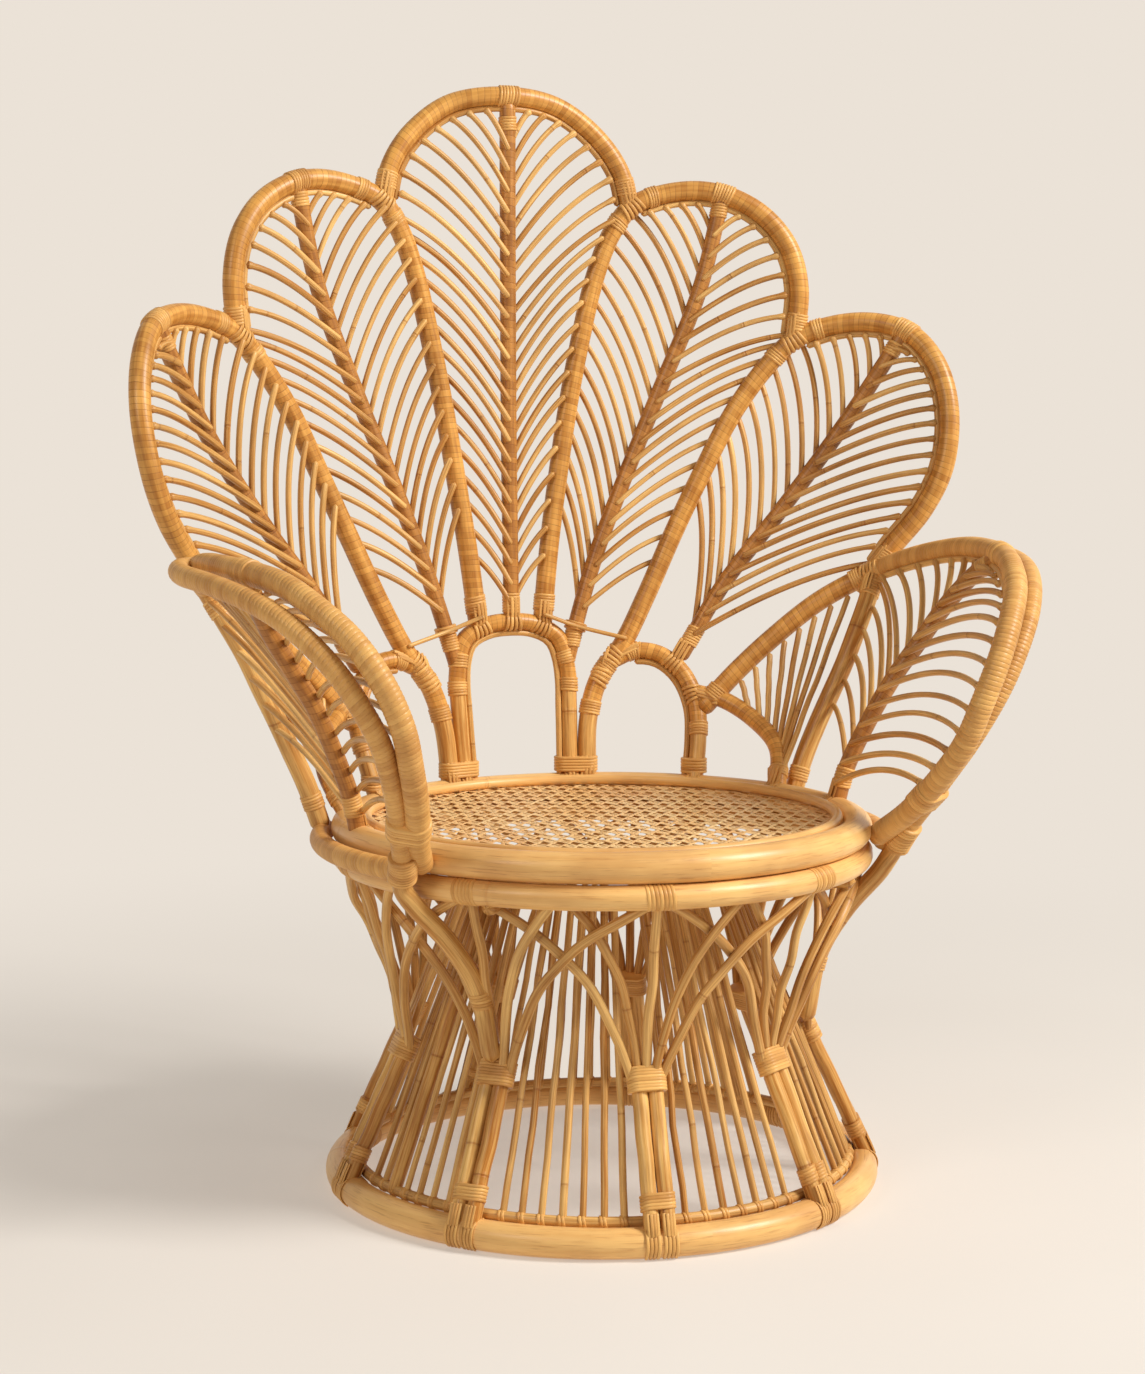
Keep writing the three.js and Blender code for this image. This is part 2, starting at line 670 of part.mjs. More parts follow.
// The edge that a row of ribs runs out to, made of stretches of the rims round a petal.
function edgeOf(stretches, middle) {
  const points = [];
  for (const { curve, from, to, radius, lined } of stretches) {
    const lining = lined ? 2 * liningRadius + clearance : 0;
    points.push(...inset(curve, from, to, radius + lining, middle));
  }
  return smooth(points);
}

// One rib: it leaves the spine steeply and flattens out towards the edge.
function rib(start, end, up, bowShare) {
  const reach = start.distanceTo(end);
  const middle = start.clone().lerp(end, 0.5).addScaledVector(up, reach * bowShare);
  return cane(smooth([start, middle, end]), ribRadius, ribSides, reach > bowedReach ? 2 : 1);
}

// Where on an edge a rib comes out that leaves its spine at a given angle.
const halvings = 12;
function byAngle(edge, row, start, up) {
  const wanted = THREE.MathUtils.degToRad(THREE.MathUtils.lerp(lowRibDegrees, highRibDegrees, row));
  let low = 0;
  let high = 1;
  for (let halving = 0; halving < halvings; halving += 1) {
    const half = (low + high) / 2;
    if (edge.getPointAt(half).sub(start).angleTo(up) > wanted) {
      low = half;
    } else {
      high = half;
    }
  }
  return low;
}

// Where on an edge a rib comes out when the ribs are spread evenly along it.
const byStep = ([fromShare, toShare]) => (edge, row) => THREE.MathUtils.lerp(fromShare, toShare, row);

// A row of ribs from one side of a spine out to an edge.
function ribRow(spine, { edge, place, fromShare, toShare }, count) {
  const ribs = [];
  for (let i = 0; i < count; i += 1) {
    const row = i / (count - 1);
    const share = THREE.MathUtils.lerp(fromShare, toShare, row);
    const start = spine.getPointAt(share);
    const up = spine.getTangentAt(share);
    const edgeShare = place(edge, row, start, up);
    const end = edge.getPointAt(edgeShare);
    const way = end.clone().sub(start);
    const reach = way.length();
    const slant = Math.sin(Math.max(way.angleTo(edge.getTangentAt(edgeShare)), leastSlant));
    const backOff = ribRadius / slant + clearance;
    if (reach > 2 * backOff + spineRadius) {
      end.addScaledVector(way.normalize(), -backOff);
      ribs.push(rib(start, end, up, ribBowShare));
    }
  }
  return ribs;
}

// A leaf: a spine with its two rows of ribs.
function addLeaf(name, spine, count, rows) {
  add(name, "cane", (growth) =>
    joined([
      cane(spine, spineRadius + growth, poleSides, spineSteps),
      ...rows.flatMap((row) => ribRow(spine, row, count)),
    ]),
  );
}

const bare = (curve, from, to, radius) => ({ curve, from, to, radius, lined: false });
const lined = (curve, from, to, radius) => ({ curve, from, to, radius, lined: true });
const crownRows = sides.map(({ word, side }) => {
  const { innerRim, crownJoint } = lines[word];
  const crownStart = side > 0 ? crownEndShare : crownJointShare;
  const stretches = [
    bare(innerRim, 0, crownJoint, rimRadius),
    lined(crown, crownStart, 0.5, crownRimRadius),
  ];
  return { edge: edgeOf(stretches, crownMiddle), place: byAngle, ...centreRowShares };
});
addLeaf("centre_spine", centreSpine, centreRibCount, crownRows);
for (const { word } of sides) {
  const { innerRim, outerRim, armRim, armPost, ...joints } = lines[word];
  const { innerSpine, outerSpine, armSpine } = lines[word];
  const innerTip = shareNear(innerRim, innerSpine.getPointAt(1));
  const outerTip = shareNear(outerRim, outerSpine.getPointAt(1));
  const armTip = shareNear(armRim, armSpine.getPointAt(1));
  const innerEdges = [
    [
      bare(innerRim, 0, joints.crownJoint, rimRadius),
      lined(innerRim, joints.crownJoint + jointShare, innerTip, rimRadius),
    ],
    [
      bare(outerRim, innerLeafStartShare, joints.innerJoint, rimRadius),
      lined(innerRim, 1 - jointShare, innerTip, rimRadius),
    ],
  ];
  const outerEdges = [
    [
      bare(outerRim, outerLeafStartShare, joints.innerJoint, rimRadius),
      lined(outerRim, joints.innerJoint + jointShare, outerTip, rimRadius),
    ],
    [
      bare(armRim, 0, joints.outerJoint, armRimRadius),
      lined(outerRim, 1 - jointShare, outerTip, rimRadius),
    ],
  ];
  const armEdges = [
    [
      bare(armPost, 1 - jointShare, jointShare, postRadius),
      lined(armRim, joints.outerJoint + jointShare, armTip, armRimRadius),
    ],
    [lined(armRim, armLiningEndShare, armTip, armRimRadius)],
  ];
  const rowOf = (stretches, spine, place, shares) => ({
    edge: edgeOf(stretches, spine.getPointAt(0.5)),
    place,
    ...shares,
  });
  const innerRows = innerEdges.map((stretches) => rowOf(stretches, innerSpine, byAngle, innerRowShares));
  const outerRows = outerEdges.map((stretches) => rowOf(stretches, outerSpine, byAngle, outerRowShares));
  const armRows = [armRearShares, armFrontShares].map((shares, i) =>
    rowOf(armEdges[i], armSpine, byStep(shares.edgeShares), shares),
  );
  addLeaf(`inner_spine_${word}`, innerSpine, innerRibCount, innerRows);
  addLeaf(`outer_spine_${word}`, outerSpine, outerRibCount, outerRows);
  addLeaf(`arm_spine_${word}`, armSpine, armRibCount, armRows);
}

// The quarter arch under each arm rim carries a small fan of ribs that rise to the rim.
for (const { word } of sides) {
  const { quarterArch, armRim, outerJoint, armPost } = lines[word];
  const middle = armPost.getPointAt(0.5);
  const edge = smooth(inset(armRim, 0, outerJoint, armRimRadius + clearance + 2 * ribRadius, middle));
  add(`quarter_arch_${word}`, "wrapped", (growth) => {
    const ribs = [];
    for (let i = 0; i < cornerRibCount; i += 1) {
      const row = i / (cornerRibCount - 1);
      const start = quarterArch.getPointAt(THREE.MathUtils.lerp(...cornerRootShares, row));
      const end = edge.getPointAt(THREE.MathUtils.lerp(...cornerTipShares, row));
      const up = end.clone().sub(start).normalize();
      ribs.push(rib(start, end, up, 0));
    }
    return joined([cane(quarterArch, archRadius + growth, poleSides, quarterArchSteps), ...ribs]);
  });
}

// The box round the whole chair reaches as far in front of the origin as behind it.
const boxes = pieces.map(({ solid }) => solid.boundingBox());
const frontEdge = Math.min(...boxes.map((box) => box.min[1]));
const backEdge = Math.max(...boxes.map((box) => box.max[1]));
const centring = -(frontEdge + backEdge) / 2;

const chair = new THREE.Group();
chair.name = "peacock_chair";
for (const { name, finish, solid } of pieces) {
  const { vertProperties, triVerts } = solid.translate(0, centring, 0).getMesh();
  const geometry = new THREE.BufferGeometry();
  geometry.setAttribute("position", new THREE.BufferAttribute(new Float32Array(vertProperties), 3));
  geometry.setIndex(new THREE.BufferAttribute(new Uint32Array(triVerts), 1));
  geometry.computeVertexNormals();
  const mesh = new THREE.Mesh(geometry, new THREE.MeshStandardMaterial(colours[finish]));
  mesh.name = name;
  chair.add(mesh);
}

export default chair;
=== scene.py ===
"""A rattan peacock chair in Blender 4.5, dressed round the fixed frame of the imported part.

Every pole, cane, rib and binding is a profile carried along a path, worked out with numpy in metres.
The front of the chair faces -Y and +Z is up. The colours, windings and grain are procedural.
"""

import logging
import math
from dataclasses import dataclass
from enum import Enum

import bpy
import numpy as np
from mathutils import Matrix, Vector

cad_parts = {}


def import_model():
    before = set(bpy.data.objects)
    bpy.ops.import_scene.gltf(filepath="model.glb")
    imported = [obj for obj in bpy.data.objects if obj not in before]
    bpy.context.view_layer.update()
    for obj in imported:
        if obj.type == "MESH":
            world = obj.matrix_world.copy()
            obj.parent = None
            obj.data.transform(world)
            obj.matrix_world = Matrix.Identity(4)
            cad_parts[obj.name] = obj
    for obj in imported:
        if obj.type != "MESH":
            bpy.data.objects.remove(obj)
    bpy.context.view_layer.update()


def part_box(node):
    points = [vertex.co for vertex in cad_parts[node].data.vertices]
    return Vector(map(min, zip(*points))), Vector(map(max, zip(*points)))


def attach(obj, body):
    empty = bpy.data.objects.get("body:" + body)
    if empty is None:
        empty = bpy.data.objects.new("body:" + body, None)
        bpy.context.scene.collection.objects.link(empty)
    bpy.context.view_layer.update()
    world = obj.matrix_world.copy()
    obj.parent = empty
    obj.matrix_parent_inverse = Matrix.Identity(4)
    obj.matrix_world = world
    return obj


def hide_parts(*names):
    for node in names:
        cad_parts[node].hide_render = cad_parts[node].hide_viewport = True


Array = np.ndarray
Colour = tuple[float, float, float, float]
Span = tuple[float, float]
Point = tuple[float, float, float]
Rows = list[list[float]]
Socket = bpy.types.NodeSocket
Sockets = dict[str, Socket]
Value = float | Socket
log = logging.getLogger("peacock_chair")
UP = np.array([0.0, 0.0, 1.0])
TURN = 2.0 * math.pi
WRAP_MAP = "Wrap"
TONE = "tone"
SIDES = {"right": 1, "left": -1}

# Lengths in metres, angles, shares and counts that all tubes go by.
SHORTEST = 1e-9
TANGENT_STEP = 0.002
WRAPPED_SPACING = 0.006
BARE_SPACING = 0.008
BAND_STATIONS = 9
RING_STATIONS = 360
DOME_DEGREES = (66.0, 33.0)
DOME_DEPTH = 0.8
GRAIN_SPREAD = 5.0
WANDER_TURNS = (0.7, 1.6, 2.9)
WANDER_FADE = 0.7
CANE_WANDER = 0.0006
STRAND_LEAN = 0.0014
COLLAR_END_SINK = 0.0012
WOUND_TONES = (0.3, 0.7)
COLLAR_TONES = (0.3, 0.9)
STRAP_TONES = (0.35, 0.9)


class Guide(Enum):
    """Which way the first axis of a section points as it is carried along a path."""

    OUTWARD = "away from the axis of the chair"
    VERTICAL = "up"


class Cap(Enum):
    """How the end of a cane is closed."""

    ROUND = "domed"
    FLAT = "cut square"


class Finish(Enum):
    """The finishes of the chair."""

    SPINE = "rattan_spine"
    WRAPPED = "wrapped_rattan"
    STRAND = "binding"
    CANE = "cane"
    POLE = "bare_pole"
    POLISHED = "polished_rattan"
    WEB = "cane_webbing"


class Root(Enum):
    """How far before its spine's axis and how far aside a rib starts, in radii of the spine."""

    LAPPED = (0.92, 0.55)
    TUCKED = (-0.5, 0.0)


class Rim(Enum):
    """How far before the axis of a bare rim a rib ends and how far past its edge, in radii of the rim."""

    LAPPED = (0.85, 0.35)
    TUCKED = (-0.6, 0.8)


Materials = dict[Finish, bpy.types.Material]


@dataclass(frozen=True)
class ChairSizes:
    """The main sizes of the chair in metres; the axis of the seat stands at (0, axis_y)."""

    axis_y: float
    seat_height: float = 0.440
    seat_radius: float = 0.298
    back_rise: float = 0.852
    back_flare: float = 0.250
    flare_power: float = 3.0
    flare_rise: float = 0.720
    arm_rise: float = 0.300
    arm_flare: float = 0.250
    floor_radius: float = 0.309
    waist_radius: float = 0.243
    waist_height: float = 0.178
    leg_count: int = 9
    first_leg_degrees: float = -10.0
    lean_degrees: tuple[float, ...] = (0, 27, 45, 56, 70, 78, 90, 102)
    lean_shares: tuple[float, ...] = (0.1, 0.25, 0.44, 0.6, 0.85, 0.95, 1, 0.95)

    def around(self, degrees: Array | float, radius: Array | float, height: Array | float) -> Array:
        """A point by its angle round from the back: (r sin a, axis + r cos a, z)."""
        angle = np.radians(degrees)
        flat = np.broadcast_arrays(radius * np.sin(angle), self.axis_y + radius * np.cos(angle), height)
        return np.stack(flat, axis=-1)

    def from_front(self, degrees: Array | float, radius: Array | float, height: Array | float) -> Array:
        """A point by its angle round from the front."""
        return self.around(180.0 - np.asarray(degrees), radius, height)

    def on_back(self, side: int, rows: Rows) -> Array:
        """Points of the dished back.

        With s the share of the rise: radius = seat + flare * lean(a) * (1 - (1 - s * rise / 720) ^ 3).

        Args:
            side: 1 for the right half, -1 for the left.
            rows: pairs of degrees from the middle and share of the back's rise.

        Returns:
            One point per row.
        """
        degrees, share = np.asarray(rows, float).T
        rise = share * self.back_rise
        leant = np.clip(rise / self.flare_rise, 0.0, 1.0)
        lean = self.back_flare * np.interp(np.abs(degrees), self.lean_degrees, self.lean_shares)
        radius = self.seat_radius + lean * (1.0 - (1.0 - leant) ** self.flare_power)
        return self.around(side * degrees, radius, self.seat_height + rise)

    def on_arm(self, side: int, rows: Rows) -> Array:
        """Points of an arm.

        Args:
            side: 1 for the right arm, -1 for the left.
            rows: degrees from the back, share of the arms' flare, share of their rise.

        Returns:
            One point per row.
        """
        degrees, flare, share = np.asarray(rows, float).T
        radius = self.seat_radius + flare * self.arm_flare
        return self.around(side * degrees, radius, self.seat_height + share * self.arm_rise)

    def outward(self, points: Array) -> Array:
        """Unit vectors that point away from the axis of the chair at the given points."""
        flat = (points - np.array([0.0, self.axis_y, 0.0])) * np.array([1.0, 1.0, 0.0])
        return unit(flat)

    def leg_degrees(self) -> Array:
        """Where the legs stand, in degrees round from the front."""
        return self.first_leg_degrees + np.arange(self.leg_count) * 360.0 / self.leg_count


@dataclass(frozen=True)
class PoleSizes:
    """The radii of the poles and canes in metres."""

    rim: float = 0.0125
    crown: float = 0.0120
    arm_rim: float = 0.0135
    arm_pole: float = 0.0120
    arch: float = 0.0110
    post: float = 0.0118
    spine: float = 0.0102
    lining: float = 0.0040
    rib: float = 0.0038
    rail: float = 0.0125
    leg: float = 0.0098
    fan: float = 0.0055
    spindle: float = 0.0041
    floor_ring: float = 0.0170
    upper_ring: float = 0.0175
    lower_ring: float = 0.0135
    hoop: float = 0.0062
    bar: float = 0.0090


def unit(vectors: Array) -> Array:
    """The vectors at length one: v / |v|."""
    return vectors / np.maximum(np.linalg.norm(vectors, axis=-1, keepdims=True), SHORTEST)


def smooth(points: Array, closed: bool = False, dense: int = 24) -> Array:
    """Samples a centripetal Catmull-Rom curve.

    Between p1 and p2 it is the cubic through both whose end slopes are
    t1 = d1 ((p1 - p0) / d0 - (p2 - p0) / (d0 + d1) + (p2 - p1) / d1), with d the square roots of the
    distances, and t2 in the same way. An open curve's first and last neighbours are mirrored points.

    Args:
        points: the points that the curve passes through.
        closed: whether it runs on from the last point to the first.
        dense: samples per span.

    Returns:
        The samples in order; a closed curve ends on its first point again.
    """
    p = np.asarray(points, float)
    if closed:
        ring = np.vstack([p[-1:], p, p[:2]])
    else:
        ring = np.vstack([2 * p[:1] - p[1:2], p, 2 * p[-1:] - p[-2:-1]])
    p0, p1, p2, p3 = ring[:-3], ring[1:-2], ring[2:-1], ring[3:]
    d0, d1, d2 = (
        np.sqrt(np.linalg.norm(b - a, axis=1, keepdims=True)) for a, b in ((p0, p1), (p1, p2), (p2, p3))
    )
    t1 = ((p1 - p0) / d0 - (p2 - p0) / (d0 + d1) + (p2 - p1) / d1) * d1
    t2 = ((p2 - p1) / d1 - (p3 - p1) / (d1 + d2) + (p3 - p2) / d2) * d1
    s = np.linspace(0, 1, dense, endpoint=False)[:, None, None]
    bend = s**2 * (3 * (p2 - p1) - 2 * t1 - t2) + s**3 * (2 * (p1 - p2) + t1 + t2)
    samples = (p1 + s * t1 + bend).transpose(1, 0, 2).reshape(-1, p.shape[1])
    return np.vstack([samples, p2[-1:]])


class Line:
    """A path read by shares of its length from 0 to 1, with the radius of the pole that follows it."""

    def __init__(self, samples: Array, radius: float = 0.0) -> None:
        """Measures the path through the samples."""
        self.samples = samples
        self.radius = radius
        steps = np.linalg.norm(np.diff(samples, axis=0), axis=1)
        self.run = np.concatenate([[0.0], np.cumsum(steps)])
        self.length = float(self.run[-1])

    def at(self, shares: Array | float) -> Array:
        """Points at the shares; past an end the path runs on straight."""
        run = np.asarray(shares, float) * self.length
        inside = np.clip(run, 0.0, self.length)
        points = np.stack([np.interp(inside, self.run, c) for c in self.samples.T], axis=-1)
        first = unit(self.samples[1] - self.samples[0])
        last = unit(self.samples[-1] - self.samples[-2])
        under = np.minimum(run, 0.0)[..., None]
        over = np.maximum(run - self.length, 0.0)[..., None]
        return points + under * first + over * last

    def tangent(self, shares: Array | float) -> Array:
        """Unit tangents at the shares, from points a small step to either side."""
        step = TANGENT_STEP / self.length
        shares = np.asarray(shares, float)
        return unit(self.at(shares + step) - self.at(shares - step))

    def near(self, point: Array) -> float:
        """The share at which the path comes nearest to a point."""
        return float(self.run[np.argmin(np.linalg.norm(self.samples - point, axis=1))] / self.length)

    def part(self, start: float, stop: float, spacing: float = 0.004) -> "Line":
        """The stretch between two shares as a path of its own."""
        count = max(4, math.ceil(abs(stop - start) * self.length / spacing) + 1)
        return Line(self.at(np.linspace(start, stop, count)), self.radius)

    def points(self, spacing: float) -> Array:
        """Points along the whole path, evenly spaced."""
        return self.at(np.linspace(0, 1, max(3, math.ceil(self.length / spacing) + 1)))


def circle(sizes: ChairSizes, radius: float, height: float, thick: float) -> Line:
    """A level ring round the axis of the chair, from its front, as the line of a pole of radius thick."""
    degrees = np.linspace(0.0, 360.0, RING_STATIONS + 1)
    return Line(sizes.from_front(degrees, radius, np.full_like(degrees, height)), thick)


def inset(line: Line, start: float, stop: float, distance: float, middle: Array, count: int = 33) -> Array:
    """Points beside a path, drawn in towards the middle of a petal: p + n d, with n square to the path.

    Args:
        line: the path.
        start: share at which the stretch starts.
        stop: share at which it ends.
        distance: how far in, in metres.
        middle: the point that they are drawn towards.
        count: number of points.

    Returns:
        The points in order.
    """
    shares = np.linspace(start, stop, count)
    points, tangents = line.at(shares), line.tangent(shares)
    inward = middle - points
    inward -= np.sum(inward * tangents, axis=1, keepdims=True) * tangents
    return points + unit(inward) * distance


@dataclass(frozen=True)
class Winding:
    """How a run of binding strands lies on a pole: lengths in metres, and places across one strand."""

    pitch: float = 0.0036
    rise: float = 0.0014
    lean: float = 0.0014
    sides: int = 20
    profile: tuple[float, ...] = (0.0, 0.08, 0.24, 0.5, 0.76, 0.92)

    def stations(self, count: int) -> tuple[Array, Array, Array]:
        """Where rings stand along a run of strands, and how far each swells.

        Across one strand the swell is rise * sqrt(1 - |2 f - 1|^3) for f from 0 to 1.

        Args:
            count: number of strands.

        Returns:
            Shares of the run, swells in metres and the number of the strand of each ring.
        """
        part = np.asarray(self.profile)
        index = np.repeat(np.arange(count), len(part))
        across = np.tile(part, count)
        swell = self.rise * np.sqrt(np.maximum(0.0, 1.0 - np.abs(2.0 * across - 1.0) ** 3))
        shares = (index + across) / count
        return np.append(shares, 1.0), np.append(swell, 0.0), np.append(index, count - 1)


@dataclass(frozen=True)
class Straps:
    """The short strands that run down one pole and round the pole beneath it."""

    width: float = 0.0044
    thickness: float = 0.0016
    spacing: float = 0.0046
    reach: float = 0.020
    splay: float = 1.5
    start_lift: float = 0.0008
    lift: float = 0.0012
    least_depth: float = 0.25
    first_degrees: float = 55.0
    last_degrees: float = -78.0
    stations: int = 6


class Bundle:
    """Collects tubes with several finishes and makes one mesh object of them, each tube closed."""

    def __init__(self, sizes: ChairSizes, seed: int) -> None:
        """Starts an empty bundle with its own seeded chance."""
        self.sizes = sizes
        self.chance = np.random.default_rng(seed)
        self.vertices: list[Array] = []
        self.tones: list[Array] = []
        self.faces: list[tuple[Array, Array, Finish]] = []
        self.count = 0

    def frames(self, path: Array, guide: Guide | Array, closed: bool) -> tuple[Array, Array, Array]:
        """Tangents, normals and binormals: B = T x G and N = B x T for a guide G.

        Args:
            path: the points of a path.
            guide: the way that the normals come nearest to.
            closed: whether the path runs on from its last point to its first.

        Returns:
            Three unit vectors per point.
        """
        ahead = np.roll(path, -1, axis=0) if closed else np.vstack([path[1:], 2 * path[-1] - path[-2]])
        behind = np.roll(path, 1, axis=0) if closed else np.vstack([2 * path[0] - path[1], path[:-1]])
        tangent = unit(ahead - behind)
        if guide is Guide.OUTWARD:
            towards = self.sizes.outward(path)
        elif guide is Guide.VERTICAL:
            towards = np.broadcast_to(UP, path.shape)
        else:
            towards = np.broadcast_to(guide, path.shape)
        binormal = unit(np.cross(tangent, towards))
        return tangent, np.cross(binormal, tangent), binormal

    def tube(
        self,
        path: Array,
        radius: Array | float,
        finish: Finish,
        *,
        sides: int = 12,
        guide: Guide | Array = Guide.OUTWARD,
        span: float = 0.0,
        flat: float = 1.0,
        cap: Cap = Cap.ROUND,
        closed: bool = False,
        tone: Array | float | None = None,
        lean: float = 0.0,
    ) -> None:
        """Carries a round, flat or long section along a path.

        A point is P + N r f cos a + B (r sin a + span sign(sin a)) + T lean sin a.

        Args:
            path: centres of the rings.
            radius: one radius, or one per ring.
            finish: the finish of the whole tube.
            sides: corners of the section.
            guide: where the first axis of the section points.
            span: half the distance between the two rounds of a long section.
            flat: thickness as a share of the width.
            cap: how open ends are closed.
            closed: whether the last ring joins the first.
            tone: shade of the piece from 0 to 1, or one per ring; by chance if not given.
            lean: how far the rings slant.
        """
        path = np.asarray(path, float)
        radii = np.broadcast_to(np.asarray(radius, float), (len(path),))
        shade = self.chance.random() if tone is None else tone
        shades = np.broadcast_to(np.asarray(shade, float), (len(path),))
        tangent, normal, binormal = self.frames(path, guide, closed)
        step = np.linalg.norm(np.diff(path, axis=0), axis=1)
        run = np.concatenate([[0.0], np.cumsum(step)]) + self.chance.random() * GRAIN_SPREAD
        if not closed and cap is Cap.ROUND:
            dome = np.radians(DOME_DEGREES)
            sink = np.sin(dome) * DOME_DEPTH
            shrink = np.cos(dome)
            head = path[0] - tangent[0] * (radii[0] * sink * flat)[:, None]
            tail = path[-1] + tangent[-1] * (radii[-1] * sink[::-1] * flat)[:, None]
            path = np.vstack([head, path, tail])
            run = np.concatenate([run[0] - radii[0] * sink, run, run[-1] + radii[-1] * sink[::-1]])
            radii = np.concatenate([radii[0] * shrink, radii, radii[-1] * shrink[::-1]])
            shades, tangent, normal, binormal = (
                np.concatenate([np.repeat(a[:1], 2, axis=0), a, np.repeat(a[-1:], 2, axis=0)])
                for a in (shades, tangent, normal, binormal)
            )
        angle = TURN * (np.arange(sides) + 0.5) / sides
        cos, sin = np.cos(angle)[None, :, None], np.sin(angle)[None, :, None]
        wide = radii[:, None, None]
        rings = (
            path[:, None]
            + normal[:, None] * wide * flat * cos
            + binormal[:, None] * (wide * sin + span * np.sign(sin))
            + tangent[:, None] * lean * sin
        )
        n = len(path)
        i = np.arange(n if closed else n - 1)[:, None]
        j = np.arange(sides)[None, :]
        ahead, beside = (i + 1) % n, (j + 1) % sides
        quads = np.stack([i * sides + j, i * sides + beside, ahead * sides + beside, ahead * sides + j], -1)
        run_on = np.append(run, run[-1] + np.linalg.norm(path[0] - path[-1])) if closed else run
        here, there = run_on[i] + 0.0 * j, run_on[i + 1] + 0.0 * j
        left, right = j / sides + 0.0 * i, (j + 1) / sides + 0.0 * i
        wraps = np.stack([here, left, here, right, there, right, there, left], -1)
        self.faces.append((quads.reshape(-1, 4) + self.count, wraps.reshape(-1, 4, 2), finish))
        vertices = [rings.reshape(-1, 3)]
        tones = [np.repeat(shades, sides)]
        if not closed:
            depth = DOME_DEPTH * flat if cap is Cap.ROUND else 0.0
            ends = (path[0] - tangent[0] * radii[0] * depth, path[-1] + tangent[-1] * radii[-1] * depth)
            vertices.append(np.stack(ends))
            tones.append(shades[[0, -1]])
            turn = np.arange(sides)
            after = (turn + 1) % sides
            last = (n - 1) * sides
            head = np.stack([np.full(sides, n * sides), after, turn], -1)
            tail = np.stack([np.full(sides, n * sides + 1), last + turn, last + after], -1)
            for fan, length in ((head, run[0]), (tail, run[-1])):
                wrap = np.stack([np.full((sides, 3), length), np.repeat(turn[:, None] / sides, 3, 1)], -1)
                self.faces.append((fan + self.count, wrap, finish))
        added = np.vstack(vertices)
        self.vertices.append(added)
        self.tones.append(np.concatenate(tones))
        self.count += len(added)

    def wandering(self, path: Array, amount: float) -> Array:
        """A path with a slow sideways wander, as grown cane has: sines of chance phase, nil at the ends.

        Args:
            path: the points of the path.
            amount: how far it wanders, in metres.

        Returns:
            The wandering points.
        """
        share = np.linspace(0.0, 1.0, len(path))
        wave = sum(
            np.sin(share * TURN * turns + self.chance.random() * TURN)[:, None] * self.chance.normal(size=3)
            for turns in WANDER_TURNS
        )
        return path + wave * amount * np.sin(math.pi * share)[:, None] ** WANDER_FADE

    def tones_between(self, tones: Span, count: int | None = None) -> Array | float:
        """One chance tone, or a row of them, between two bounds."""
        low, high = tones
        return low + (high - low) * self.chance.random(count)

    def wound(self, line: Line, winding: Winding) -> None:
        """Winds strands closely over the whole length of a pole."""
        count = max(3, round(line.length / winding.pitch))
        shares, swell, index = winding.stations(count)
        tones = self.tones_between(WOUND_TONES, count)[index]
        radii = line.radius + swell - winding.rise
        self.tube(line.at(shares), radii, Finish.STRAND, sides=winding.sides, tone=tones, lean=winding.lean)

    def chance_winding(self) -> Winding:
        """Plain strands that slant by chance."""
        return Winding(lean=self.chance.uniform(-STRAND_LEAN, STRAND_LEAN))

    def bind(
        self,
        line: Line,
        share: float,
        count: int,
        *,
        radius: float | None = None,
        winding: Winding | None = None,
        span: float = 0.0,
        guide: Guide | Array = Guide.OUTWARD,
    ) -> None:
        """Ties a collar of strands round a pole, or round two poles that lie side by side.

        Args:
            line: the path of the pole.
            share: where on it the middle of the collar is.
            count: number of strands.
            radius: radius of what is bound, if not the line's own.
            winding: size of the strands.
            span: half the distance between two bound poles.
            guide: where the first axis of the section points.
        """
        winding = winding or self.chance_winding()
        shares, swell, index = winding.stations(count)
        half = 0.5 * count * winding.pitch / line.length
        tones = self.tones_between(COLLAR_TONES, count)
        radii = (line.radius if radius is None else radius) + swell
        radii[[0, -1]] -= COLLAR_END_SINK
        self.tube(
            line.at(share - half + 2.0 * half * shares),
            radii,
            Finish.STRAND,
            sides=winding.sides,
            guide=guide,
            span=span,
            cap=Cap.FLAT,
            tone=tones[index],
            lean=winding.lean,
        )

    def strap(self, points: Array, facing: Array, straps: Straps) -> None:
        """Lays one short strand over a joint.

        Args:
            points: the points it passes through.
            facing: which way its broad side faces at each of them.
            straps: size of the strand.
        """
        both = smooth(np.hstack([points, facing]), dense=5)
        tone = self.tones_between(STRAP_TONES)
        flat = straps.thickness / straps.width
        wide = straps.width / 2
        self.tube(both[:, :3], wide, Finish.STRAND, sides=8, guide=unit(both[:, 3:]), flat=flat, tone=tone)

